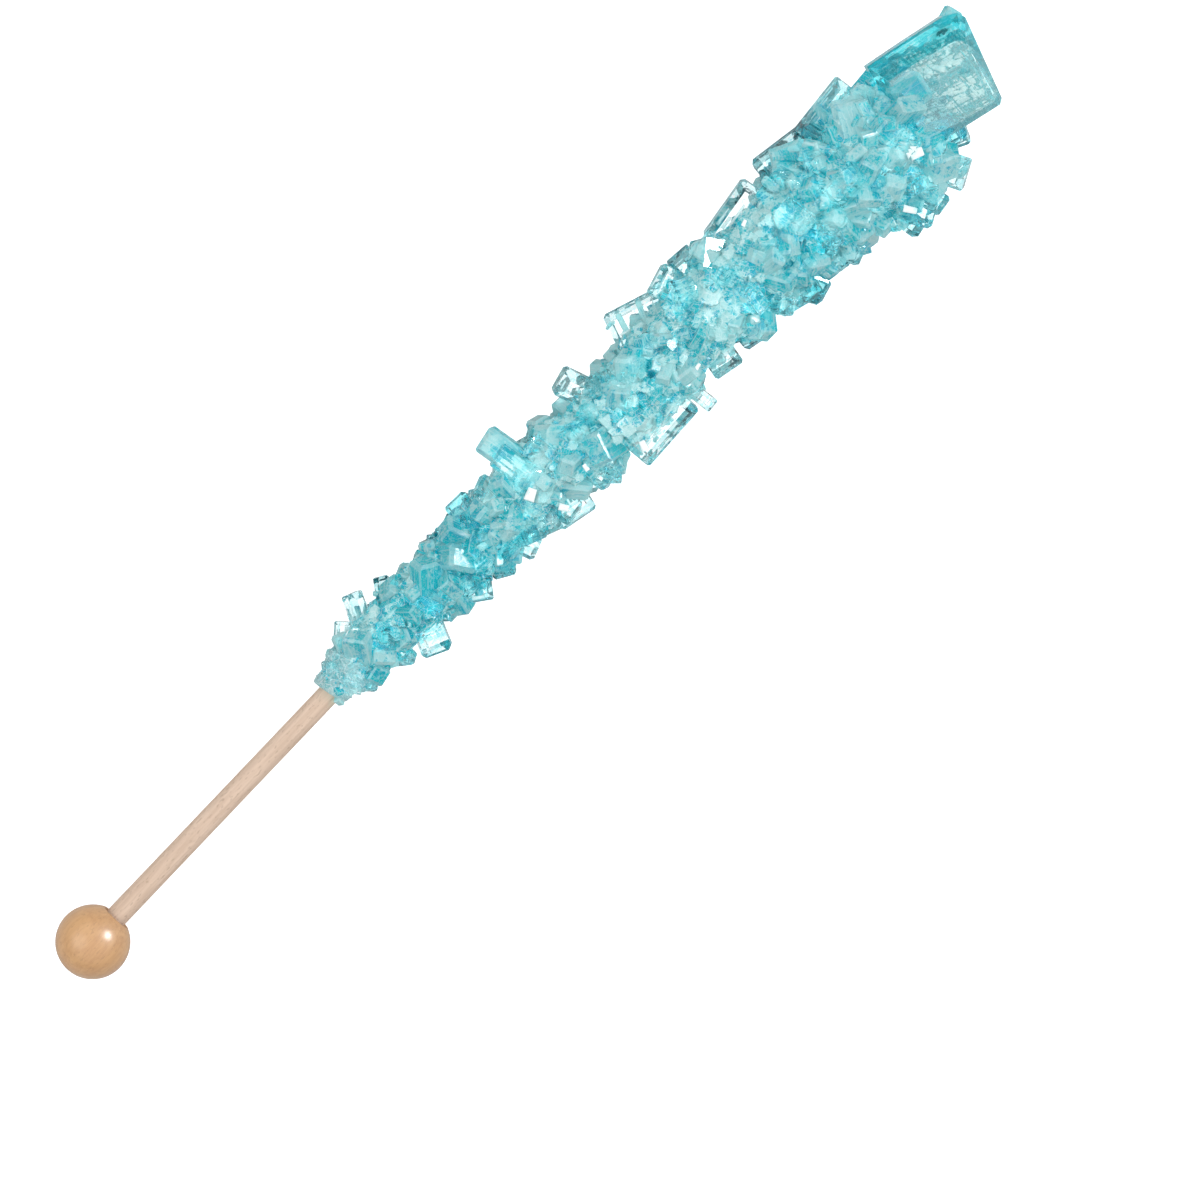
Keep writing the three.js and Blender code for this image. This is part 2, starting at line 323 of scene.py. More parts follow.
# Middles of crystals on the candy's skin, sunk into it by a share of how far they reach outwards
def onSkin(x, outward, long, length, sunk):
    middle, radius = girthAt(x)
    reach = radius - length * (long * outward).sum(-1) * sunk
    return outward * reach[:, None] + np.stack([x, middle, np.zeros_like(x)], -1)


cover = {
    "count": 200,
    "first": 2.6,
    "lowSize": 3.4,
    "highSize": 5.4,
    "crowding": 1.08,
    "collarShare": 0.7,
    "collarCrystals": 0.06,
    "cut": (0.06, 0.16),  # edge cuts: least and how much more, as a share of the crystal's thickness
    "taper": 0.12,
    "dye": 0.7,
}
# How each crystal may vary: the least, and how much more
coverVary = {
    "round": (-0.35, 0.7),
    "size": (0.72, 0.5),
    "length": (1.05, 0.5),
    "width": (0.68, 0.36),
    "thickness": (0.5, 0.36),
    "forward": (-0.714, 1.7),
    "sideways": (-0.75, 1.5),
    "spin": (0, math.pi),
    "sunk": (0.3, 0.24),
    "slant": (-0.18, 0.36),
}


# The crystals that cover the candy, spread by the golden angle, each pointing outwards with its own lean
def coveringCrystals():
    i = np.arange(cover["count"], dtype=float)
    drawn = {way: least + more * chance(i, k + 1) for k, (way, (least, more)) in enumerate(coverVary.items())}
    along = ((i + 0.5) / cover["count"]) ** cover["crowding"]
    x = candyStart + cover["first"] + (candyEnd - candyStart - cover["first"]) * along
    collar = cover["collarShare"] + (1 - cover["collarShare"]) * smooth(0, cover["collarCrystals"], along)
    size = (cover["lowSize"] + (cover["highSize"] - cover["lowSize"]) * along) * collar * drawn["size"]
    length = size * drawn["length"]
    outward, long, axes = outwardAxes(
        i * golden + drawn["round"], drawn["forward"], drawn["sideways"], drawn["spin"]
    )
    halves = np.stack([size * drawn["width"], size * drawn["thickness"], length], -1) / 2
    cuts = cover["cut"][0] + cover["cut"][1] * chance(i[:, None], np.array([11.0, 12.0, 13.0]))
    cuts = cuts * halves.min(1)[:, None] * 2
    middles = onSkin(x, outward, long, length, drawn["sunk"])
    taper, dye = cover["taper"] * chance(i, 15), cover["dye"] * chance(i, 20)
    return crystalGroup(middles, axes, halves, cuts, drawn["slant"], taper, dye)


# Large crystals that stand out by themselves: where along, across and above the axis, size, and turns in
# degrees
standOuts = np.array([
    (156.2, -0.9, 6.4, 4.8, 4.4, 4.0, -8, -14, 15),
    (166.8, 2.0, 0.4, 4.0, 2.4, 2.6, 14, 0, 30),
    (147.2, 5.0, 0.8, 9.2, 4.4, 3.6, 5, 6, 20),
    (139.5, 5.2, -0.6, 8.8, 4.4, 3.4, -9, -5, -25),
    (129.0, 4.3, 0.4, 9.4, 5.0, 4.0, 8, 8, 10),
    (122.6, 5.2, 1.6, 5.4, 1.1, 1.4, 4, 10, 0),
    (119.9, 5.0, -0.6, 3.6, 4.0, 2.6, -6, 12, 35),
    (116.2, 4.6, 1.4, 4.4, 4.4, 3.4, 16, -10, 12),
    (109.9, 4.3, 0.2, 7.8, 5.6, 3.8, -19, 4, -14),
    (97.8, 4.4, 0.8, 4.0, 5.0, 3.8, 14, 10, 20),
    (85.2, 4.6, 1.0, 8.0, 4.0, 3.2, -82, 8, 16),
    (56.4, 4.9, 0.8, 4.8, 2.8, 2.8, 62, 6, 45),
    (52.9, 4.4, 0.4, 2.8, 2.0, 1.8, 40, 6, 20),
    (60.6, -4.9, 0.2, 4.2, 4.2, 3.8, -26, 6, 10),
    (65.3, -4.0, 0.2, 3.0, 2.2, 2.2, 0, 8, 30),
    (69.2, -4.5, 0.4, 4.6, 3.2, 2.6, -37, -8, 20),
    (74.0, -5.0, 0.4, 3.2, 2.8, 2.6, -31, 6, 20),
    (81.6, -5.0, 0.6, 4.8, 3.2, 3.0, -22, 8, 40),
    (86.0, -6.3, -0.4, 5.6, 3.6, 3.2, -12, -6, 30),
    (91.8, -5.2, 1.6, 5.0, 3.4, 3.2, -80, 10, 20),
    (101.9, -6.5, 1.0, 10.2, 6.4, 4.2, 2, 5, 14),
    (108.4, -8.1, 0.2, 2.0, 5.2, 2.0, 4, 4, 20),
    (114.2, -6.3, 0.4, 4.4, 5.4, 3.8, -12, 0, 12),
    (119.6, -6.8, -0.6, 4.4, 4.6, 3.6, -12, 8, 30),
    (127.2, -8.4, -0.2, 6.4, 3.4, 3.0, -16, 4, 16),
    (133.2, -8.2, 0.8, 4.6, 4.2, 3.6, -12, 8, 30),
    (138.8, -9.0, -0.4, 6.8, 3.6, 3.2, -2, -6, 12),
    (145.6, -11.0, 0.6, 7.6, 4.2, 3.6, -62, 4, 10),
    (148.6, -12.8, 0.4, 3.0, 3.6, 2.4, 8, 6, 14),
    (152.6, -10.8, 0.2, 6.8, 4.4, 3.6, -66, 8, 24),
    (156.4, -8.4, -1.0, 4.8, 4.0, 3.6, -28, 8, 20),
    (148.0, -7.0, -7.8, 6.0, 5.0, 4.4, 20, 4, 3),
    (137.0, 2.4, -7.4, 6.2, 5.0, 4.2, -14, 2, -4),
    (127.0, -4.8, -7.2, 5.6, 4.6, 4.0, 30, 2, 4),
    (84.9, 2.4, 4.2, 6.6, 3.6, 3.2, -82, 14, 8),
])


# Axes turned by a roll about X, then a pitch about Y, then a yaw about Z, in degrees
def turned(yaw, pitch, roll):
    a, b, c = np.radians(yaw), np.radians(-pitch), np.radians(roll)
    one, zero = np.ones_like(a), np.zeros_like(a)
    aboutZ = np.stack([np.cos(a), -np.sin(a), zero, np.sin(a), np.cos(a), zero, zero, zero, one], -1)
    aboutY = np.stack([np.cos(b), zero, np.sin(b), zero, one, zero, -np.sin(b), zero, np.cos(b)], -1)
    aboutX = np.stack([one, zero, zero, zero, np.cos(c), -np.sin(c), zero, np.sin(c), np.cos(c)], -1)
    return aboutZ.reshape(-1, 3, 3) @ aboutY.reshape(-1, 3, 3) @ aboutX.reshape(-1, 3, 3)


# A crystal's length runs along the template's third axis, so the turned axes are taken as width,
# thickness, length
standAxes = turned(*standOuts[:, 6:9].T)[:, :, [1, 2, 0]]
standHalves = standOuts[:, [4, 5, 3]] / 2


# Those that show the surface through them: slabs, the cube and the big plate
windows = [4, 6, 8, 10, 11, 13, 20, 22]
# How deep their dye is: chance, none in those, and set for the block on the end block, the spike, the
# block under the striped slab, and that slab
standDyes = 0.35 * chance(np.arange(len(standOuts), dtype=float), 40)
standDyes[windows] = 0.0
standDyes[[0, 1, 10, 34]] = 0.7, 0.9, 0.7, 0.7


windowReach = {"beside": 0.7, "below": 2.0}


# Which crystals of a group lie over one of those: near or within its outline, and not far below its middle
def overWindows(group):
    away = group["middles"][:, None, :] - standOuts[windows, :3]
    local = np.abs(np.einsum("nwj,wji->nwi", away, standAxes[windows]))
    beside = (local[..., [0, 2]] < standHalves[windows][:, [0, 2]] + windowReach["beside"]).all(-1)
    return (beside & (away[..., 2] > -windowReach["below"])).any(1)


standCut = {"least": (0.20, 0.06, 0.20), "more": (0.12, 0.08, 0.12)}  # as shares of the thickness


# Their edges are cut wide round the faces that look up and down, which gives clear ones a rim, and little
# at the corners of their outline
def standingCrystals():
    i = np.arange(len(standOuts), dtype=float)
    drawn = chance(i[:, None], np.array([31.0, 32.0, 33.0]))
    share = np.array(standCut["least"]) + np.array(standCut["more"]) * drawn
    cuts = share * standHalves.min(1)[:, None] * 2
    none = np.zeros(len(i))
    return crystalGroup(standOuts[:, :3], standAxes, standHalves, cuts, none, none, standDyes)


# The big crystal at the tip. Its outlines are drawn along its length and across it, counter-clockwise,
# from the corner that is hidden in the candy, and each level of its side walls is a blend of two of them
# at a height.
endBlock = {
    "at": (159.7, -2.5, 3.4),
    "turn": (-18.0, -4.0, 8.0),
    "halfHeight": 3.9,
    "outline": (
        (-6.2, -7.2), (0.2, -6.9), (6.3, -6.5), (6.9, -5.8), (7.2, 0.1),
        (7.5, 5.9), (6.8, 6.9), (4.9, 7.4), (-1.0, 6.9), (-7.1, 6.3),
    ),
    "table": (
        (-5.0, -5.6), (0.2, -5.5), (5.3, -5.3), (6.3, -4.6), (5.9, -0.3),
        (5.4, 3.0), (5.1, 3.7), (4.3, 4.1), (-0.8, 3.9), (-5.8, 3.5),
    ),
    "levels": (  # height as a share of half the block's, share of the table, and depth of the dye
        (-1.0, 0.75, 0.4), (-0.62, 0.0, 0.8), (0.15, 0.0, 1.3), (0.94, 0.93, 1.0), (1.0, 1.0, 0.0),
    ),
    "farStarts": 3.0,  # across the block; nearer than this, the dye is nearDye as deep
    "nearDye": 0.95,
}


def endBlockAxes():
    return turned(*(np.array([v]) for v in endBlock["turn"]))[:, :, [1, 2, 0]]


# Places given along the end block, across it and up from its middle, on the stick
def onEndBlock(along, across, up):
    wide, thick, long = endBlockAxes()[0].T
    farAlong, farAcross = along[..., None] * long, across[..., None] * wide
    return np.array(endBlock["at"]) + farAlong + farAcross + up[..., None] * thick


# Side walls between its levels, and two flat ends
def endBlockPiece():
    outline, table = np.array(endBlock["outline"]), np.array(endBlock["table"])
    height, share, dye = np.array(endBlock["levels"]).T
    flat = outline + (table - outline) * share[:, None, None]
    count, levels = len(outline), len(height)
    up = np.repeat(height[:, None], count, 1) * endBlock["halfHeight"]
    points = onEndBlock(flat[..., 0], flat[..., 1], up).reshape(-1, 3)
    i, j = np.meshgrid(np.arange(levels - 1) * count, np.arange(count), indexing="ij")
    k = (j + 1) % count
    walls = np.stack([i + j, i + k, i + count + k, i + count + j], -1).reshape(-1, 4).tolist()
    ends = [list(range(count))[::-1], list(range((levels - 1) * count, levels * count))]
    strength = np.where(flat[..., 1] > endBlock["farStarts"], 1.0, endBlock["nearDye"])
    own = np.stack([flat[..., 0], flat[..., 1], up], -1)[..., [1, 2, 0]].reshape(-1, 3)
    attributes = {"dye": (np.repeat(dye[:, None], count, 1) * strength).reshape(-1), "own": own}
    return makeMesh("candy_end_block", toFrame(points), walls + ends, attributes)


# Smooth random heights over a plane: random numbers on a lattice of the given spacing, blended between
# its points
def lattice(u, v, spacing, seed):
    s, t = (u - u.min()) / spacing[0], (v - v.min()) / spacing[1]
    grid = np.random.default_rng(seed).random((int(s.max()) + 2, int(t.max()) + 2))
    i, j = s.astype(int), t.astype(int)
    a, b = smooth(0, 1, s - i), smooth(0, 1, t - j)
    near = grid[i, j] * (1 - a) + grid[i + 1, j] * a
    far = grid[i, j + 1] * (1 - a) + grid[i + 1, j + 1] * a
    return near * (1 - b) + far * b


# Inside the end block: a frosted slab whose upper face is broken by fine growth cracks
growth = {
    "along": (-5.8, 6.0),
    "across": (-5.6, 3.6),
    "points": (150, 120),
    "under": -2.6,
    "over": 1.9,
    # Spacing of the pattern along and across, depth and seed: long cracks, cross cracks, fine grain
    "cracks": (
        (2.6, 0.5, 0.5, 21), (0.45, 2.2, 0.4, 22), (0.7, 0.7, 0.35, 23), (0.3, 0.3, 0.2, 24),
    ),
    "sharp": 0.09,
    # Bands of more or less dye: middle across the block, reach and how much
    "bands": ((0.3, 1.0, 0.55), (2.1, 1.0, -0.25), (-2.6, 1.3, -0.25)),
    "rimWidth": 2.2,
    "rimWander": 1.4,
    "rimDrop": 3.2,
    "dyeGain": 3.0,
    "dyeLoss": 0.4,
}
# Growth steps that show as deep teal lines in the end block: places along and across it, at a height
# above its middle
growthSteps = {
    "routes": (
        ((-1.6, 0.6), (0.5, 0.5), (2.2, 0.9), (3.7, 0.9)),
        ((-1.2, 0.0), (1.0, -0.1), (3.2, 0.3), (4.5, 0.0)),
        ((2.3, 0.4), (2.6, -0.6), (3.2, -1.6), (3.4, -2.4)),
        ((4.6, 2.6), (5.0, 0.4), (5.3, -1.8), (5.0, -4.4)),
    ),
    "radius": 0.13,
    "height": 2.3,
    "wander": 0.25,
    "dye": 1.3,
    "rings": 30,
    "sides": 6,
}


# Its upper face lies at a height, less each pattern's cracks: how near a smooth random height is to its
# middle
def growthPiece():
    n, m = growth["points"]
    u, v = np.meshgrid(np.linspace(*growth["along"], n), np.linspace(*growth["across"], m), indexing="ij")
    lean = 1 - 0.05 * v / 3
    relief = sum(
        depth * np.exp(-((lattice(u + 0.3 * v, v, (a, b), seed) - 0.5) / growth["sharp"]) ** 2)
        for a, b, depth, seed in growth["cracks"]
    )
    rim = np.minimum(np.minimum(u - u.min(), u.max() - u), np.minimum(v - v.min(), v.max() - v))
    fall = smooth(0, growth["rimWidth"], rim + growth["rimWander"] * (lattice(u, v, (0.9, 0.9), 26) - 0.5))
    over = growth["over"] * lean + 0.4 - np.clip(relief, 0, 1.2) - growth["rimDrop"] * (1 - fall)
    top = onEndBlock(u, v, over)
    under = onEndBlock(u, v, np.full_like(u, growth["under"]) + 0.3 * lattice(u, v, (0.8, 0.8), 25))
    points = np.concatenate([top.reshape(-1, 3), under.reshape(-1, 3)])
    i, j = np.meshgrid(np.arange(n - 1), np.arange(m - 1), indexing="ij")
    a = (i * m + j).reshape(-1)
    upper = np.stack([a, a + m, a + m + 1, a + 1], -1)
    border = np.concatenate([
        np.arange(m - 1),
        np.arange(1, n) * m - 1,
        n * m - 1 - np.arange(m - 1),
        (n - 1 - np.arange(n - 1)) * m,
    ])
    after = np.roll(border, -1)
    walls = np.stack([border, after, after + n * m, border + n * m], -1)
    faces = np.concatenate([upper, upper[:, ::-1] + n * m, walls])
    bands = sum(depth * np.exp(-((v - middle) / reach) ** 2) for middle, reach, depth in growth["bands"])
    deep = np.concatenate([(relief + bands + 0.3 * (1 - fall)).reshape(-1), np.full(n * m, 0.3)])
    attributes = {"dye": np.clip(deep * growth["dyeGain"] - growth["dyeLoss"], -0.3, 1.6), "own": points}
    return makeMesh("candy_end_growth", toFrame(points), faces.tolist(), attributes)


# Each step is a thin tube along its route, which swells and shrinks a little on the way
def growthStepsPiece():
    rings, sides = growthSteps["rings"], growthSteps["sides"]
    angle = np.linspace(0, 2 * math.pi, sides, endpoint=False)
    points, faces = [], []
    for number, route in enumerate(np.array(growthSteps["routes"])):
        share = np.linspace(0, len(route) - 1, rings)
        u, v = (np.interp(share, np.arange(len(route)), route[:, k]) for k in range(2))
        wander = growthSteps["wander"] * (lattice(share, share * 0, (0.35, 1), 60 + number) - 0.5)
        radius = growthSteps["radius"] * (0.6 + 0.9 * lattice(share, share * 0, (0.5, 1), 70 + number))
        run = normalised(np.stack([np.gradient(u), np.gradient(v)], -1))
        side, lift = radius[:, None] * np.cos(angle), radius[:, None] * np.sin(angle)
        tube = onEndBlock(
            u[:, None] + side * run[:, 1:2],
            (v + wander)[:, None] - side * run[:, 0:1],
            growthSteps["height"] + lift,
        ).reshape(-1, 3)
        ends = onEndBlock(u[[0, -1]], (v + wander)[[0, -1]], np.full(2, growthSteps["height"]))
        before = number * (rings * sides + 2)
        faces += [[corner + before for corner in face] for face in tubeFaces(rings, sides)]
        points.append(np.concatenate([tube, ends]))
    points = np.concatenate(points)
    attributes = {"dye": np.full(len(points), growthSteps["dye"]), "own": points}
    return makeMesh("candy_end_steps", toFrame(points), faces, attributes)


veil = {
    "length": (0.15, 0.42),  # least and most, as a share of the crystal's half length
    "thickness": (0.03, 0.10),
    "flatness": (1, 3),
    "room": 0.78,  # share of the crystal's half sizes that they stay within
    "cut": 0.3,
    "usual": 4,  # how many a crystal has
    # How many the block under the striped slab, that slab, the cube and the big plate have
    "counts": {10: 16, 34: 16, 13: 0, 20: 30},
    "seed": 12,
}


# Veils: thin slivers of trapped air and frost inside a clear crystal, lying along it
def veilsInside(middles, axes, halves):
    counts = np.full(len(middles), veil["usual"])
    counts[list(veil["counts"])] = list(veil["counts"].values())
    rng = np.random.default_rng(veil["seed"])
    which = np.repeat(np.arange(len(middles)), counts)
    count = len(which)
    long = rng.uniform(*veil["length"], count) * halves[which, 2]
    thin = rng.uniform(*veil["thickness"], (count, 2))
    size = np.stack([thin[:, 0] * rng.uniform(*veil["flatness"], count), thin[:, 1], long], -1)
    room = halves[which] * veil["room"] - size
    place = rng.uniform(-1, 1, (count, 3)) * np.clip(room, 0, None)
    at = middles[which] + np.einsum("nij,nj->ni", axes[which], place)
    cuts = size.min(1)[:, None] * np.full((1, 3), veil["cut"])
    none = np.zeros(count)
    return crystalGroup(at, axes[which], size, cuts, none, none, none)


# Teal ribs inside the clear slab: place along, across and above the axis, length, width, thickness and turn
ribs = np.array([
    (108.1, 4.9, 0.4, 4.4, 0.8, 1.6, 72),
    (110.9, 4.2, 0.4, 4.4, 0.6, 1.4, 64),
    (107.0, 6.6, 0.3, 1.6, 0.5, 1.2, -10),
])
ribCut, ribDye = 0.3, 0.3


def ribCrystals():
    halves = ribs[:, [4, 5, 3]] / 2
    none = np.zeros(len(ribs))
    axes = turned(ribs[:, 6], none, none)[:, :, [1, 2, 0]]
    return crystalGroup(ribs[:, :3], axes, halves, halves * ribCut, none, none, none + ribDye)


# The dark smudge inside the end block's far corner: its place along the block, across it and up from its
# middle, and how far it reaches each way
smudge = {
    "at": (3.7, 5.3, 0.9),
    "reach": (1.4, 0.75, 0.3),
    "rings": 40,
    "sides": 60,
    "dark": 0.67,
    "fades": (0.3, 1.25),  # where the dark starts to fade and where it is gone, for a reach of 1
    "dye": 0.6,
}


# A round blob with a wandering surface, darkest in the middle
def smudgePiece():
    rings, sides = smudge["rings"], smudge["sides"]
    height, around = np.meshgrid(
        np.linspace(0, math.pi, rings + 2)[1:-1],
        np.linspace(0, 2 * math.pi, sides, endpoint=False),
        indexing="ij",
    )
    wander = 0.7 + 0.6 * lattice(height, np.abs(around - math.pi), (0.45, 0.45), 81)
    ball = np.stack([-np.cos(height), np.sin(height) * np.cos(around), np.sin(height) * np.sin(around)], -1)
    ball = np.concatenate([(ball * wander[..., None]).reshape(-1, 3), [(-0.9, 0, 0), (0.9, 0, 0)]])
    along, across, up = (ball * np.array(smudge["reach"]) + np.array(smudge["at"])).T
    dark = smudge["dark"] * (1 - smooth(*smudge["fades"], np.hypot(ball[:, 0], ball[:, 1])))
    points = onEndBlock(along, across, up)
    attributes = {"dye": np.full(len(points), smudge["dye"]), "dark": dark, "own": points}
    faces = tubeFaces(rings, sides)
    return makeMesh("candy_end_smudge", toFrame(points), faces, attributes, np.ones(len(faces)))


# Small facets painted white as painted highlights, standing in for light thrown straight back and the bright
# surface seen through clear sugar: place along and across, length, width, and turn in degrees
paintedGlintFacets = np.array([
    (83.6, -1.3, 1.7, 1.3, 25),
    (85.3, -5.6, 1.4, 0.9, -60),
    (98.5, -7.6, 1.4, 0.9, 70),
    (151.0, -7.1, 1.9, 1.3, -25),
    (145.3, -11.6, 1.8, 0.9, -60),
    (111.0, -5.6, 1.0, 0.5, 10),
    (91.2, -4.1, 1.0, 0.6, 80),
    (128.9, 3.0, 0.9, 0.5, 20),
])


facet = {"above": 0.9, "thickness": 0.5, "tilt": 16, "cut": 0.25}


# They lie on the candy's outline, nearly level
def paintedGlintCrystals():
    x, y, length, width, yaw = paintedGlintFacets.T
    middle, radius = girthAt(x)
    z = np.sqrt(np.clip(radius ** 2 - (y - middle) ** 2, 0.3, None)) + facet["above"]
    halves = np.stack([width, np.full_like(width, facet["thickness"]), length], -1) / 2
    drawn = chance(np.arange(len(x), dtype=float)[:, None], np.array([81.0, 82.0]))
    tilt = facet["tilt"] * (drawn - 0.5)
    axes = turned(yaw, tilt[:, 0], tilt[:, 1])[:, :, [1, 2, 0]]
    cuts = halves * facet["cut"]
    none = np.zeros(len(x))
    return crystalGroup(np.stack([x, y, z], -1), axes, halves, cuts, 0.15 + none, 0.1 + none, none)


fillingKind = {"count": 560, "sizes": (1.5, 3.1), "sunk": (0.4, 0.85), "seed": 7}
grainKind = {"count": 1300, "sizes": (0.62, 0.62 * 1.4), "sunk": (0.3, 0.9), "seed": 8}
# How each of them may vary: the least and the most, and for the dye the most
fillVary = {
    "size": (0.6, 1.35),
    "length": (1.0, 1.7),
    "forward": (-1.2, 1.2),
    "sideways": (-1.1, 1.1),
    "spin": (0, math.pi),
    "width": (0.6, 1.0),
    "thickness": (0.45, 0.85),
    "cut": (0.05, 0.2),
    "slant": (-0.2, 0.2),
    "taper": (0, 0.15),
    "dye": 0.8,
}


# Crystals that fill the gaps between the covering ones, spread at random but evenly over the candy's skin
def fillingCrystals(kind):
    rng = np.random.default_rng(kind["seed"])
    count, (lowSize, highSize) = kind["count"], kind["sizes"]

    def draw(way):
        return rng.uniform(*fillVary[way], count)

    grid = np.linspace(candyStart + 1.0, candyEnd - 0.8, 400)
    weight = np.cumsum(girthAt(grid)[1])
    x = np.interp(rng.random(count), weight / weight[-1], grid)
    share = (x - candyStart) / (candyEnd - candyStart)
    size = (lowSize + (highSize - lowSize) * share) * draw("size")
    length = size * draw("length")
    around = rng.random(count) * 2 * math.pi
    outward, long, axes = outwardAxes(around, draw("forward"), draw("sideways"), draw("spin"))
    middles = onSkin(x, outward, long, length, rng.uniform(*kind["sunk"], count))
    halves = np.stack([size * draw("width"), size * draw("thickness"), length], -1) / 2
    cuts = rng.uniform(*fillVary["cut"], (count, 3)) * halves.min(1)[:, None] * 2
    slants, tapers = draw("slant"), draw("taper")
    return crystalGroup(middles, axes, halves, cuts, slants, tapers, rng.random(count) * fillVary["dye"])


heart = {
    "starts": 47.0,
    "share": 0.82,
    "rings": 480,
    "sides": 150,
    "cellLength": 1.5,
    "cellsRound": 22,
    "step": 0.9,  # how much neighbouring cells differ in height
    "tilt": 1.3,
    "seed": 31,
    "stops": 0.4,  # before the candy's end
    "dye": (0.1, 0.8),  # the least, and how much more
    "lowest": 0.0002,  # metres above the surface
}


# A pattern of flat cells on rows of jittered cells that close round the stick: for each place, four
# random numbers of the nearest cell, and how far the place lies from that cell's middle in both
# directions
def cellsAt(s, t, columns, seed):
    rng = np.random.default_rng(seed)
    rows = int(s.max()) + 4
    jitter = rng.random((rows, columns, 2))
    draws = rng.random((rows, columns, 4))
    best = np.full(s.shape, np.inf)
    found = np.zeros(s.shape + (6,))
    for di in (-1, 0, 1):
        for dj in (-1, 0, 1):
            i, j = np.floor(s).astype(int) + di, np.floor(t).astype(int) + dj
            cell = (i + 1, j % columns)
            ds, dt = s - i - jitter[cell][..., 0], t - j - jitter[cell][..., 1]
            away = ds * ds + dt * dt
            nearer = away < best
            best = np.where(nearer, away, best)
            found[nearer] = np.concatenate([draws[cell], ds[..., None], dt[..., None]], -1)[nearer]
    return found


# The milky heart: at each place along the candy a ring of its girth times a share, broken into small flat
# facets that are raised and tilted at random, each with a depth of dye of its own
def heartPiece():
    rings, sides = heart["rings"], heart["sides"]
    x = np.linspace(heart["starts"], candyEnd - heart["stops"], rings)
    middle, radius = girthAt(x)
    around = np.linspace(0, 2 * math.pi, sides, endpoint=False)
    s = np.repeat((x - x[0])[:, None], sides, 1) / heart["cellLength"]
    t = np.repeat(around[None, :], rings, 0) * heart["cellsRound"] / (2 * math.pi)
    cells = cellsAt(s, t, heart["cellsRound"], heart["seed"])
    rise = (cells[..., 0] - 0.5) * heart["step"] + heart["tilt"] * (
        (cells[..., 1] - 0.5) * cells[..., 4] + (cells[..., 2] - 0.5) * cells[..., 5]
    )
    r = (radius * heart["share"])[:, None] + rise * np.clip(radius / 6, 0.4, 1)[:, None]
    skin = np.stack([
        np.broadcast_to(x[:, None], r.shape), middle[:, None] + r * np.cos(around), r * np.sin(around)
    ], -1).reshape(-1, 3)
    points = np.concatenate([skin, [(x[0], middle[0], 0), (x[-1], middle[-1], 0)]])
    placed = toFrame(points)
    placed[:, 2] = np.maximum(placed[:, 2], heart["lowest"])
    own = np.concatenate([cells[..., 3].reshape(-1), [0.5, 0.5]])
    least, more = heart["dye"]
    dye = np.clip(least + more * own + pooled(dyePools, points), 0, 1.4)
    return makeMesh("candy_heart", placed, tubeFaces(rings, sides), {"dye": dye, "own": points})


# The sheared lower end, where the candy was cut straight: its profile as places along the stick and radii
collar = {
    "profile": (
        (45.45, 2.2), (45.5, 2.38), (45.75, 2.52), (46.6, 2.66), (47.3, 2.5),
        (48.2, 2.9), (49.4, 3.45), (50.6, 3.6), (51.8, 2.8),
    ),
    "middle": 0.2,
    "slant": 0.17,  # the cut face leans by this much along the stick for each millimetre across it
    "slantFrom": 2.6,  # where across the stick that lean is none
    "rings": 90,
    "sides": 110,
    "grain": 0.09,
}


# A turned profile with fine grains on it, which are smooth random heights round and along it
def collarPiece():
    profile = np.array(collar["profile"])
    rings, sides = collar["rings"], collar["sides"]
    share = np.linspace(0, 1, rings) ** 1.3
    x = profile[0, 0] + (profile[-1, 0] - profile[0, 0]) * share
    radius = np.interp(x, profile[:, 0], profile[:, 1])
    around = np.linspace(0, 2 * math.pi, sides, endpoint=False)
    u, v = np.meshgrid(x, around, indexing="ij")
    grain = lattice(u, v, (0.3, 0.11), 41) - 0.5 + 0.6 * (lattice(u, v, (0.9, 0.5), 42) - 0.5)
    grow = smooth(45.5, 47.5, u)
    r = radius[:, None] * (1 + collar["grain"] * grain * (0.4 + 2.2 * grow))
    middle, slant, slantFrom = collar["middle"], collar["slant"], collar["slantFrom"]
    y = middle + r * np.cos(v)
    lean = slant * (slantFrom - y) * (1 - smooth(46, 50, u))
    skin = np.stack([u + lean, y, r * np.sin(v)], -1).reshape(-1, 3)
    ends = [(x[0] + slant * (slantFrom - middle), middle, 0), (x[-1], middle, 0)]
    points = np.concatenate([skin, ends])
    attributes = {"dye": np.clip(0.15 + 0.5 * pooled(dyePools, points), 0, 1), "own": points}
    return makeMesh("candy_collar", toFrame(points), tubeFaces(rings, sides), attributes)


# Camera: straight down on the stick, turned so that the stick runs up to the right as in the photograph
photo = {
    "width": 1200,
    "ball": (91.0, 943.0),  # the ball's middle
    "along": (0.6899, -0.7239),  # the stick's direction, with down as positive
    "pixelsPerMm": 7.53,
    "lens": 200.0,
    "sensor": 36.0,
    "focusHeight": 8.0,  # height above the surface at which that scale holds
}


def makeCamera():
    along = np.array(photo["along"])
    across = np.array([-along[1], along[0]])
    offset = photo["width"] / 2 - np.array(photo["ball"])
    x = offset @ along / photo["pixelsPerMm"]
    y = -offset @ across / photo["pixelsPerMm"]
    away = photo["width"] / photo["pixelsPerMm"] * photo["lens"] / photo["sensor"]
    data = bpy.data.cameras.new("camera")
    data.lens = photo["lens"]
    data.sensor_width = photo["sensor"]
    data.clip_end = 10
    camera = bpy.data.objects.new("camera", data)
    bpy.context.scene.collection.objects.link(camera)
    camera.location = np.array([knobMiddle[0] + x, knobMiddle[1] + y, photo["focusHeight"] + away]) * mm
    camera.rotation_euler = (0, 0, math.atan2(along[1], along[0]))
    bpy.context.scene.camera = camera
    print("camera done")


makeCamera()

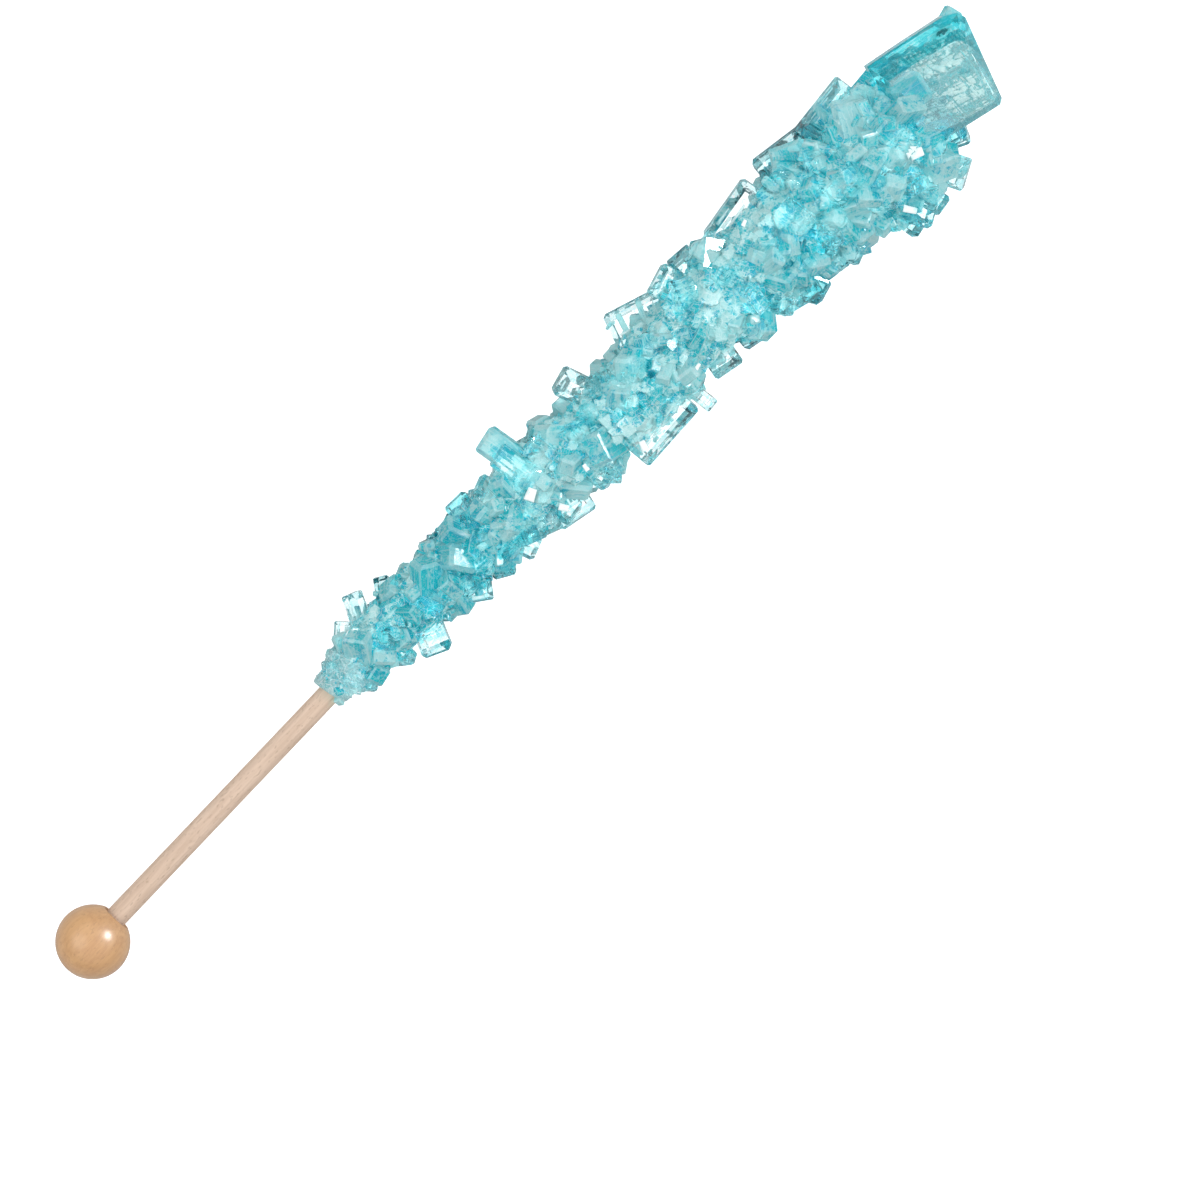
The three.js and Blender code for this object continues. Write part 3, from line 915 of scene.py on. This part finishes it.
studio = {
    "surface": 0.55,
    "surfaceHalf": 3.0,
    "surfaceDrop": 0.0001,
    "glow": 0.85,  # the surface is bright where it is looked at, directly or through clear sugar
    "skyLow": 0.22,  # how bright the room is at the height of the surface
    "skyHigh": 0.94,  # and overhead
    "lowEnds": 0.20,  # sine of the height angle where the dark band ends
    "highStarts": 0.55,
    # Lamps: the way to each, how far off it is, its size and power. The gleam shows in shiny places only.
    "key": {"way": (0.718, -0.348, 0.602), "away": 0.70, "size": 0.26, "power": 1.5},
    "gleam": {"way": (0.718, -0.340, 0.610), "away": 0.70, "size": 0.28, "power": 4.6},
    "fill": {"way": (-0.45, 0.45, 0.77), "away": 0.75, "size": 0.60, "power": 1.2},
}


def softBox(name, box):
    data = bpy.data.lights.new(name, "AREA")
    data.shape = "DISK"
    data.size = box["size"]
    data.energy = box["power"]
    lamp = bpy.data.objects.new(name, data)
    bpy.context.scene.collection.objects.link(lamp)
    way = Vector(box["way"]).normalized()
    lamp.location = way * box["away"]
    lamp.rotation_euler = way.to_track_quat("Z", "Y").to_euler()


def makeStudio():
    scene = bpy.context.scene
    world = bpy.data.worlds.new("studio")
    scene.world = world
    world.use_nodes = True
    nodes, links = world.node_tree.nodes, world.node_tree.links
    place = nodes.new("ShaderNodeTexCoord")
    parts = nodes.new("ShaderNodeSeparateXYZ")
    rise = nodes.new("ShaderNodeMapRange")
    rise.interpolation_type = "SMOOTHSTEP"
    rise.inputs["From Min"].default_value = studio["lowEnds"]
    rise.inputs["From Max"].default_value = studio["highStarts"]
    rise.inputs["To Min"].default_value = studio["skyLow"]
    rise.inputs["To Max"].default_value = studio["skyHigh"]
    links.new(place.outputs["Generated"], parts.inputs[0])
    links.new(parts.outputs["Z"], rise.inputs["Value"])
    links.new(rise.outputs["Result"], nodes["Background"].inputs["Strength"])
    nodes["Background"].inputs["Color"].default_value = (1, 1, 1, 1)
    softBox("key", studio["key"])
    softBox("fill", studio["fill"])
    softBox("gleam", studio["gleam"])
    bpy.data.objects["gleam"].visible_diffuse = False
    h = studio["surfaceHalf"]
    floor = makeMesh("floor", [(-h, -h, 0), (h, -h, 0), (h, h, 0), (-h, h, 0)], [[0, 1, 2, 3]], {})
    floor.location.z = -studio["surfaceDrop"]
    material = bpy.data.materials.new("paleSurface")
    material.use_nodes = True
    nodes, links = material.node_tree.nodes, material.node_tree.links
    shader = nodes["Principled BSDF"]
    shader.inputs["Base Color"].default_value = (studio["surface"],) * 3 + (1,)
    shader.inputs["Roughness"].default_value = 0.9
    shader.inputs["Specular IOR Level"].default_value = 0.1
    path = nodes.new("ShaderNodeLightPath")
    looked = nodes.new("ShaderNodeMath")
    looked.operation = "MAXIMUM"
    links.new(path.outputs["Is Camera Ray"], looked.inputs[0])
    links.new(path.outputs["Is Transmission Ray"], looked.inputs[1])
    links.new(looked.outputs[0], shader.inputs["Emission Color"])
    shader.inputs["Emission Strength"].default_value = studio["glow"]
    floor.data.materials.append(material)
    scene.view_settings.view_transform = "Standard"
    scene.cycles.use_denoising = True
    scene.cycles.max_bounces = 14
    scene.cycles.transmission_bounces = 14
    scene.cycles.adaptive_threshold = 0.03
    scene.cycles.glossy_bounces = 6
    scene.cycles.diffuse_bounces = 4
    scene.cycles.transparent_max_bounces = 24
    scene.cycles.sample_clamp_indirect = 4
    print("studio done")


makeStudio()


def groupSocket(group, name, way, kind, value=None):
    socket = group.interface.new_socket(name=name, in_out=way, socket_type=kind)
    if value is not None:
        socket.default_value = value


def noise(nodes, scale, detail, distortion=0.0):
    node = nodes.new("ShaderNodeTexNoise")
    node.inputs["Scale"].default_value = scale
    node.inputs["Detail"].default_value = detail
    node.inputs["Distortion"].default_value = distortion
    return node


def mapped(nodes, links, value, low, high, toLow=0.0, toHigh=1.0):
    node = nodes.new("ShaderNodeMapRange")
    node.interpolation_type = "SMOOTHSTEP"
    for key, number in (("From Min", low), ("From Max", high), ("To Min", toLow), ("To Max", toHigh)):
        node.inputs[key].default_value = number
    links.new(value, node.inputs["Value"])
    return node.outputs["Result"]


def sums(nodes, links, kind, a, b):
    node = nodes.new("ShaderNodeMath")
    node.operation = kind
    for n, value in enumerate((a, b)):
        if isinstance(value, (int, float)):
            node.inputs[n].default_value = value
        else:
            links.new(value, node.inputs[n])
    return node.outputs["Value"]


def blended(nodes, links, share, a, b):
    node = nodes.new("ShaderNodeMix")
    node.data_type = "RGBA"
    links.new(share, node.inputs[0])
    for socket, value in ((node.inputs[6], a), (node.inputs[7], b)):
        if isinstance(value, tuple):
            socket.default_value = value
        else:
            links.new(value, socket)
    return node.outputs[2]


# Sugar grown from dyed syrup: pale and deep teal in clouds and grains, small angular flecks of strong dye,
# pale frost with painted glints in it, streaks of dye, and fine painted glint lines that run the length of
# each crystal. Rims, painted as edge shade on clear crystals and as pale edge highlights on cloudy ones, and
# the painted shade of dark corners come from the mesh. Coordinates are millimetres.
def sugarGroup():
    group = bpy.data.node_groups.new("sugarGrowth", "ShaderNodeTree")
    groupSocket(group, "Place", "INPUT", "NodeSocketVector")
    groupSocket(group, "Own", "INPUT", "NodeSocketVector")
    groupSocket(group, "Dye", "INPUT", "NodeSocketFloat", 0.5)
    groupSocket(group, "Edge", "INPUT", "NodeSocketFloat", 0.0)
    groupSocket(group, "Dark", "INPUT", "NodeSocketFloat", 0.0)
    groupSocket(group, "Pale", "INPUT", "NodeSocketColor", (0.5, 0.8, 0.85, 1))
    groupSocket(group, "Deep", "INPUT", "NodeSocketColor", (0.1, 0.5, 0.6, 1))
    groupSocket(group, "Fleck", "INPUT", "NodeSocketColor", (0.0, 0.4, 0.55, 1))
    groupSocket(group, "Rim", "INPUT", "NodeSocketColor", (0.6, 0.8, 0.8, 1))
    groupSocket(group, "Rims", "INPUT", "NodeSocketFloat", 0.0)
    groupSocket(group, "Flecks", "INPUT", "NodeSocketFloat", 0.0)
    groupSocket(group, "FrostAndGlints", "INPUT", "NodeSocketFloat", 0.5)
    groupSocket(group, "Color", "OUTPUT", "NodeSocketColor")
    groupSocket(group, "Height", "OUTPUT", "NodeSocketFloat")
    nodes, links = group.nodes, group.links
    start = nodes.new("NodeGroupInput")
    end = nodes.new("NodeGroupOutput")
    clouds = noise(nodes, 0.28, 2.0)
    grains = nodes.new("ShaderNodeTexVoronoi")
    grains.inputs["Scale"].default_value = 0.75
    fine = noise(nodes, 1.3, 4.0, 1.5)
    spots = nodes.new("ShaderNodeTexVoronoi")
    spots.inputs["Scale"].default_value = 1.4
    sparks = noise(nodes, 3.2, 2.0, 2.5)
    for node in (clouds, grains, fine, sparks):
        links.new(start.outputs["Place"], node.inputs["Vector"])
    angular = nodes.new("ShaderNodeMapping")
    angular.inputs["Scale"].default_value = (1.0, 1.0, 0.45)
    links.new(start.outputs["Own"], angular.inputs["Vector"])
    links.new(angular.outputs[0], spots.inputs["Vector"])
    lengthwise = nodes.new("ShaderNodeMapping")
    lengthwise.inputs["Scale"].default_value = (1.0, 1.0, 0.10)
    streaks = noise(nodes, 2.2, 3.0, 0.4)
    lines = nodes.new("ShaderNodeTexVoronoi")
    lines.feature = "DISTANCE_TO_EDGE"
    lines.inputs["Scale"].default_value = 0.9
    links.new(start.outputs["Own"], lengthwise.inputs["Vector"])
    links.new(lengthwise.outputs[0], streaks.inputs["Vector"])
    links.new(lengthwise.outputs[0], lines.inputs["Vector"])
    cell = nodes.new("ShaderNodeSeparateColor")
    links.new(grains.outputs["Color"], cell.inputs[0])
    spot = nodes.new("ShaderNodeSeparateColor")
    links.new(spots.outputs["Color"], spot.inputs[0])
    depth = sums(nodes, links, "ADD", start.outputs["Dye"], -0.04)
    for value, weight in (
        (clouds.outputs["Fac"], 1.8), (cell.outputs[0], 0.5),
        (fine.outputs["Fac"], 1.6), (streaks.outputs["Fac"], 1.2),
    ):
        centred = sums(nodes, links, "SUBTRACT", value, 0.5)
        depth = sums(nodes, links, "ADD", depth, sums(nodes, links, "MULTIPLY", centred, weight))
    share = mapped(nodes, links, depth, 0.15, 0.85)
    colour = blended(nodes, links, share, start.outputs["Pale"], start.outputs["Deep"])
    fleck = sums(nodes, links, "ADD", spot.outputs[0], sums(nodes, links, "MULTIPLY", depth, 0.22))
    fleck = sums(nodes, links, "MULTIPLY", mapped(nodes, links, fleck, 0.90, 1.02), start.outputs["Flecks"])
    colour = blended(nodes, links, fleck, colour, start.outputs["Fleck"])
    # Rims: edge strips painted in the look's rim colour, broken by fine noise; on clear crystals this is
    # painted shade for their dark refracted edges, on cloudy and teal ones painted pale edge highlights
    broken = mapped(nodes, links, fine.outputs["Fac"], 0.25, 0.55)
    rim = sums(nodes, links, "MULTIPLY", start.outputs["Edge"], broken)
    rim = sums(nodes, links, "MULTIPLY", rim, start.outputs["Rims"])
    colour = blended(nodes, links, rim, colour, start.outputs["Rim"])
    # Frost and painted glints: pale spots, and fine lines along each crystal, painted in a pale white as
    # glints
    glintLines = mapped(nodes, links, lines.outputs["Distance"], 0.0, 0.05, 0.8, 0.0)
    frostAndGlints = sums(nodes, links, "MAXIMUM", mapped(nodes, links, sparks.outputs["Fac"], 0.57, 0.66), glintLines)
    frostAndGlints = sums(nodes, links, "MULTIPLY", frostAndGlints, start.outputs["FrostAndGlints"])
    colour = blended(nodes, links, frostAndGlints, colour, (0.86, 0.94, 0.94, 1))
    # Near-black where the dark attribute is high: painted shade at the dark corners of the large clear
    # crystals, and the darkness of the end block's smudge
    dark = sums(nodes, links, "ADD", start.outputs["Dark"], fine.outputs["Fac"])
    dark = sums(nodes, links, "MULTIPLY", mapped(nodes, links, dark, 0.98, 1.12), start.outputs["Edge"])
    colour = blended(nodes, links, dark, colour, (0.02, 0.05, 0.06, 1))
    links.new(colour, end.inputs["Color"])
    height = sums(nodes, links, "ADD", fine.outputs["Fac"], streaks.outputs["Fac"])
    links.new(height, end.inputs["Height"])
    return group


sugarGrowth = sugarGroup()


# A sugar finish: the growth pattern in this finish's own colours over a Principled shader. Lamps shine
# through it with the colour in letThrough, which keeps the heap bright inside. A look that leaves out
# rims, flecks, milk or letThrough has none.
def sugarMaterial(name, look):
    material = bpy.data.materials.new(name)
    material.use_nodes = True
    nodes, links = material.node_tree.nodes, material.node_tree.links
    shader, out = nodes["Principled BSDF"], nodes["Material Output"]
    place = nodes.new("ShaderNodeTexCoord")
    inMm = nodes.new("ShaderNodeMapping")
    inMm.inputs["Scale"].default_value = (1000, 1000, 1000)
    own = nodes.new("ShaderNodeAttribute")
    own.attribute_name = "own"
    growthPattern = nodes.new("ShaderNodeGroup")
    growthPattern.node_tree = sugarGrowth
    for key in ("Dye", "Edge", "Dark"):
        mark = nodes.new("ShaderNodeAttribute")
        mark.attribute_name = key.lower()
        links.new(mark.outputs["Fac"], growthPattern.inputs[key])
    links.new(place.outputs["Object"], inMm.inputs["Vector"])
    links.new(inMm.outputs[0], growthPattern.inputs["Place"])
    links.new(own.outputs["Vector"], growthPattern.inputs["Own"])
    for key in ("Pale", "Deep", "Fleck", "Rim", "Rims", "Flecks", "FrostAndGlints"):
        if key in look:
            growthPattern.inputs[key].default_value = look[key]
    links.new(growthPattern.outputs["Color"], shader.inputs["Base Color"])
    bump = nodes.new("ShaderNodeBump")
    bump.inputs["Strength"].default_value = look["bump"]
    bump.inputs["Distance"].default_value = 0.0001
    links.new(growthPattern.outputs["Height"], bump.inputs["Height"])
    links.new(bump.outputs["Normal"], shader.inputs["Normal"])
    shader.inputs["Roughness"].default_value = look["roughness"]
    shader.inputs["IOR"].default_value = 1.54
    shader.inputs["Transmission Weight"].default_value = look["transmission"]
    if "milk" in look:
        shader.inputs["Subsurface Weight"].default_value = look["milk"]
        shader.inputs["Subsurface Radius"].default_value = (0.5, 1.0, 1.0)
        shader.inputs["Subsurface Scale"].default_value = 0.0008
    if "letThrough" in look:
        path = nodes.new("ShaderNodeLightPath")
        clear = nodes.new("ShaderNodeBsdfTransparent")
        clear.inputs["Color"].default_value = look["letThrough"]
        mix = nodes.new("ShaderNodeMixShader")
        links.new(path.outputs["Is Shadow Ray"], mix.inputs[0])
        links.new(shader.outputs["BSDF"], mix.inputs[1])
        links.new(clear.outputs["BSDF"], mix.inputs[2])
        links.new(mix.outputs["Shader"], out.inputs["Surface"])
    return material


# Rim: painted shade on the edge strips, a darker teal for the dark refracted edges of clear sugar
clearLook = {
    "Pale": (0.98, 0.99, 0.985, 1), "Deep": (0.26, 0.80, 0.84, 1), "Fleck": (0.03, 0.62, 0.70, 1),
    "Rim": (0.40, 0.74, 0.78, 1), "Rims": 0.8,
    "Flecks": 0.6, "FrostAndGlints": 0.35, "bump": 0.08, "roughness": 0.02, "transmission": 1.0,
    "letThrough": (0.88, 0.97, 0.98, 1),
}
# Rim: painted pale edge highlights on the edge strips
cloudyLook = {
    "Pale": (0.42, 0.73, 0.74, 1), "Deep": (0.001, 0.54, 0.60, 1), "Fleck": (0.0, 0.43, 0.56, 1),
    "Rim": (0.52, 0.76, 0.77, 1), "Rims": 0.5,
    "Flecks": 0.8, "FrostAndGlints": 0.4, "bump": 0.4, "roughness": 0.08, "transmission": 0.35, "milk": 0.4,
    "letThrough": (0.66, 0.86, 0.88, 1),
}
# Rim: painted pale edge highlights on the edge strips
tealLook = {
    "Pale": (0.10, 0.52, 0.56, 1), "Deep": (0.003, 0.44, 0.50, 1), "Fleck": (0.0, 0.36, 0.48, 1),
    "Rim": (0.30, 0.62, 0.65, 1), "Rims": 0.4,
    "Flecks": 0.8, "FrostAndGlints": 0.2, "bump": 0.3, "roughness": 0.12, "transmission": 0.15, "milk": 0.4,
    "letThrough": (0.66, 0.86, 0.88, 1),
}
blockLook = {
    "Pale": (0.71, 0.86, 0.85, 1), "Deep": (0.03, 0.53, 0.59, 1), "Fleck": (0.0, 0.46, 0.56, 1),
    "Flecks": 0.6, "FrostAndGlints": 0.4, "bump": 0.10, "roughness": 0.03, "transmission": 0.80,
    "letThrough": (0.86, 0.95, 0.95, 1),
}
growthLook = {
    "Pale": (0.97, 0.95, 0.92, 1), "Deep": (0.005, 0.42, 0.46, 1), "Fleck": (0.01, 0.48, 0.54, 1),
    "Flecks": 0.5, "FrostAndGlints": 0.6, "bump": 0.6, "roughness": 0.12, "transmission": 0.45,
    "letThrough": (0.88, 0.95, 0.95, 1),
}
# Painted highlight: opaque facets painted white
paintedGlintLook = {
    "Pale": (0.97, 0.99, 0.99, 1), "Deep": (0.40, 0.80, 0.84, 1),
    "FrostAndGlints": 0.5, "bump": 0.0, "roughness": 0.15, "transmission": 0.0,
}
veilLook = {
    "Pale": (0.88, 0.95, 0.95, 1), "Deep": (0.66, 0.84, 0.84, 1), "Fleck": (0.4, 0.7, 0.75, 1),
    "Flecks": 0.2, "FrostAndGlints": 0.5, "bump": 0.1, "roughness": 0.25, "transmission": 0.5,
    "letThrough": (0.8, 0.9, 0.9, 1),
}
collarLook = {
    "Pale": (0.38, 0.65, 0.68, 1), "Deep": (0.07, 0.46, 0.51, 1),
    "FrostAndGlints": 0.8, "bump": 0.5, "roughness": 0.25, "transmission": 0.3, "milk": 0.4,
    "letThrough": (0.74, 0.92, 0.93, 1),
}
heartLook = {
    "Pale": (0.39, 0.70, 0.71, 1), "Deep": (0.002, 0.46, 0.53, 1), "Fleck": (0.0, 0.40, 0.52, 1),
    "Flecks": 1.0, "FrostAndGlints": 0.5, "bump": 0.5, "roughness": 0.25, "transmission": 0.0,
}


def dress(piece, material):
    piece.data.materials.append(material)
    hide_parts("candy")
    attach(piece, "root")


clearSugar = sugarMaterial("clearSugar", clearLook)
cloudySugar = sugarMaterial("cloudySugar", cloudyLook)
tealSugar = sugarMaterial("tealSugar", tealLook)
blockSugar = sugarMaterial("blockSugar", blockLook)
growthSugar = sugarMaterial("growthSugar", growthLook)
veilSugar = sugarMaterial("veilSugar", veilLook)
paintedGlintSugar = sugarMaterial("paintedGlintSugar", paintedGlintLook)
collarSugar = sugarMaterial("collarSugar", collarLook)
heartSugar = sugarMaterial("heartSugar", heartLook)

clearShare = {"covering": 0.5, "filling": 0.35}

covering, standing = coveringCrystals(), standingCrystals()
filling, grains = fillingCrystals(fillingKind), fillingCrystals(grainKind)
clearCover = chance(np.arange(cover["count"], dtype=float), 61) < clearShare["covering"]
clearFill = chance(np.arange(fillingKind["count"], dtype=float), 62) < clearShare["filling"]
# What lies over a window is left out, and so are filling crystals and grains that nothing holds
coverStays, fillStays, grainsStay = (~overWindows(group) for group in (covering, filling, grains))
large = joined([chosen(covering, coverStays), standing])
fillStays &= held(filling, large)
grainsStay &= held(grains, joined([large, chosen(filling, fillStays)]))
tealBlock = np.arange(len(standOuts)) == 0
milky = np.isin(np.arange(len(standOuts)), [1, 10])  # the spike and the block under the striped slab

# Painted shade at their dark corners, and painted rim shade on their edge strips
dress(crystalPiece("candy_clear_large", chosen(standing, ~milky & ~tealBlock), corners=1.0), clearSugar)
dress(crystalPiece("candy_clear_small", joined([
    chosen(covering, clearCover & coverStays), chosen(filling, clearFill & fillStays),
]), 0.35), clearSugar)
dress(crystalPiece("candy_cloudy", joined([
    chosen(covering, ~clearCover & coverStays), chosen(filling, ~clearFill & fillStays),
    chosen(grains, grainsStay), chosen(standing, milky),
])), cloudySugar)
print("crystals done")

dress(crystalPiece("candy_teal_block", chosen(standing, tealBlock)), tealSugar)
dress(endBlockPiece(), blockSugar)
dress(growthPiece(), growthSugar)
dress(growthStepsPiece(), growthSugar)
dress(crystalPiece("candy_veils", veilsInside(standOuts[:, :3], standAxes, standHalves)), veilSugar)
print("end block and veils done")

dress(smudgePiece(), veilSugar)
dress(crystalPiece("candy_ribs", ribCrystals(), 0.0), cloudySugar)
# Painted highlights: white facets on the outline
dress(crystalPiece("candy_painted_glints", paintedGlintCrystals(), 0.0), paintedGlintSugar)

dress(collarPiece(), collarSugar)
dress(heartPiece(), heartSugar)
print("collar and heart done")


# Wood grain: fine dark lines that run along the piece, broader pale and dark bands, and short pores.
# Coordinates are millimetres.
def grainGroup():
    group = bpy.data.node_groups.new("woodGrain", "ShaderNodeTree")
    groupSocket(group, "Place", "INPUT", "NodeSocketVector")
    groupSocket(group, "Light", "INPUT", "NodeSocketColor", (0.6, 0.4, 0.3, 1))
    groupSocket(group, "Dark", "INPUT", "NodeSocketColor", (0.5, 0.3, 0.2, 1))
    groupSocket(group, "Pore", "INPUT", "NodeSocketColor", (0.3, 0.2, 0.1, 1))
    groupSocket(group, "Pores", "INPUT", "NodeSocketFloat", 0.5)
    groupSocket(group, "Color", "OUTPUT", "NodeSocketColor")
    groupSocket(group, "Height", "OUTPUT", "NodeSocketFloat")
    nodes, links = group.nodes, group.links
    start = nodes.new("NodeGroupInput")
    end = nodes.new("NodeGroupOutput")
    stretched = nodes.new("ShaderNodeMapping")
    stretched.inputs["Scale"].default_value = (0.06, 1.0, 1.0)
    short = nodes.new("ShaderNodeMapping")
    short.inputs["Scale"].default_value = (0.35, 1.0, 1.0)
    lines = noise(nodes, 2.4, 4.0, 0.3)
    bands = noise(nodes, 0.5, 2.0, 0.6)
    pores = noise(nodes, 3.6, 1.0, 0.2)
    links.new(start.outputs["Place"], stretched.inputs["Vector"])
    links.new(start.outputs["Place"], short.inputs["Vector"])
    links.new(stretched.outputs[0], lines.inputs["Vector"])
    links.new(stretched.outputs[0], bands.inputs["Vector"])
    links.new(short.outputs[0], pores.inputs["Vector"])
    fine = mapped(nodes, links, lines.outputs["Fac"], 0.35, 0.70, 0.0, 0.6)
    broad = mapped(nodes, links, bands.outputs["Fac"], 0.35, 0.65, 0.0, 0.5)
    shade = sums(nodes, links, "ADD", fine, broad)
    colour = blended(nodes, links, shade, start.outputs["Light"], start.outputs["Dark"])
    pore = mapped(nodes, links, pores.outputs["Fac"], 0.60, 0.72)
    pore = sums(nodes, links, "MULTIPLY", pore, start.outputs["Pores"])
    colour = blended(nodes, links, pore, colour, start.outputs["Pore"])
    links.new(colour, end.inputs["Color"])
    links.new(sums(nodes, links, "SUBTRACT", lines.outputs["Fac"], pore), end.inputs["Height"])
    return group


woodGrain = grainGroup()


def woodMaterial(name, look):
    material = bpy.data.materials.new(name)
    material.use_nodes = True
    nodes, links = material.node_tree.nodes, material.node_tree.links
    shader = nodes["Principled BSDF"]
    place = nodes.new("ShaderNodeTexCoord")
    inMm = nodes.new("ShaderNodeMapping")
    inMm.inputs["Scale"].default_value = (1000, 1000, 1000)
    grain = nodes.new("ShaderNodeGroup")
    grain.node_tree = woodGrain
    links.new(place.outputs["Object"], inMm.inputs["Vector"])
    links.new(inMm.outputs[0], grain.inputs["Place"])
    for key in ("Light", "Dark", "Pore", "Pores"):
        grain.inputs[key].default_value = look[key]
    links.new(grain.outputs["Color"], shader.inputs["Base Color"])
    bump = nodes.new("ShaderNodeBump")
    bump.inputs["Strength"].default_value = look["bump"]
    bump.inputs["Distance"].default_value = 0.0001
    links.new(grain.outputs["Height"], bump.inputs["Height"])
    links.new(bump.outputs["Normal"], shader.inputs["Normal"])
    shader.inputs["Roughness"].default_value = look["roughness"]
    shader.inputs["Coat Weight"].default_value = look["coat"]
    shader.inputs["Coat Roughness"].default_value = 0.27
    return material


ballLook = {
    "Light": (0.68, 0.39, 0.175, 1), "Dark": (0.58, 0.31, 0.135, 1), "Pore": (0.37, 0.195, 0.085, 1),
    "Pores": 0.3, "bump": 0.05, "roughness": 0.6, "coat": 1.0,
}
dowelLook = {
    "Light": (0.72, 0.55, 0.43, 1), "Dark": (0.60, 0.44, 0.33, 1), "Pore": (0.40, 0.28, 0.20, 1),
    "Pores": 0.5, "bump": 0.3, "roughness": 0.75, "coat": 0.0,
}


# The knob: a ball turned about the stick, with the bore for the dowel and a chamfer at its mouth, and a
# small flat spot where it touches the surface
def knobPiece():
    radius, bore, bevel = stick["knobRadius"], stick["boreRadius"], stick["boreChamfer"]
    mouth = math.asin((bore + bevel) / radius)
    angle = np.linspace(math.pi, mouth, stick["knobRings"])[1:]
    x = np.concatenate([radius * np.cos(angle), [radius * math.cos(mouth) - bevel, stick["boreBottom"]]])
    r = np.concatenate([radius * np.sin(angle), [bore, bore]])
    around = np.linspace(0, 2 * math.pi, stick["knobSides"], endpoint=False)
    skin = np.stack([
        np.repeat(x[:, None], len(around), 1), r[:, None] * np.cos(around), r[:, None] * np.sin(around)
    ], -1).reshape(-1, 3)
    points = toFrame(np.concatenate([skin, [(-radius, 0, 0), (stick["boreBottom"], 0, 0)]]))
    points[:, 2] = np.maximum(points[:, 2], 0)
    return makeMesh("knob_turned", points, tubeFaces(len(x), len(around)), {})


def paint(node, material):
    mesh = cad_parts[node].data
    mesh.materials.clear()
    mesh.materials.append(material)


knob = knobPiece()
knob.data.materials.append(woodMaterial("varnishedWood", ballLook))
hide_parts("ball_knob")
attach(knob, "root")
paint("dowel", woodMaterial("bareBirch", dowelLook))
print("wood done")
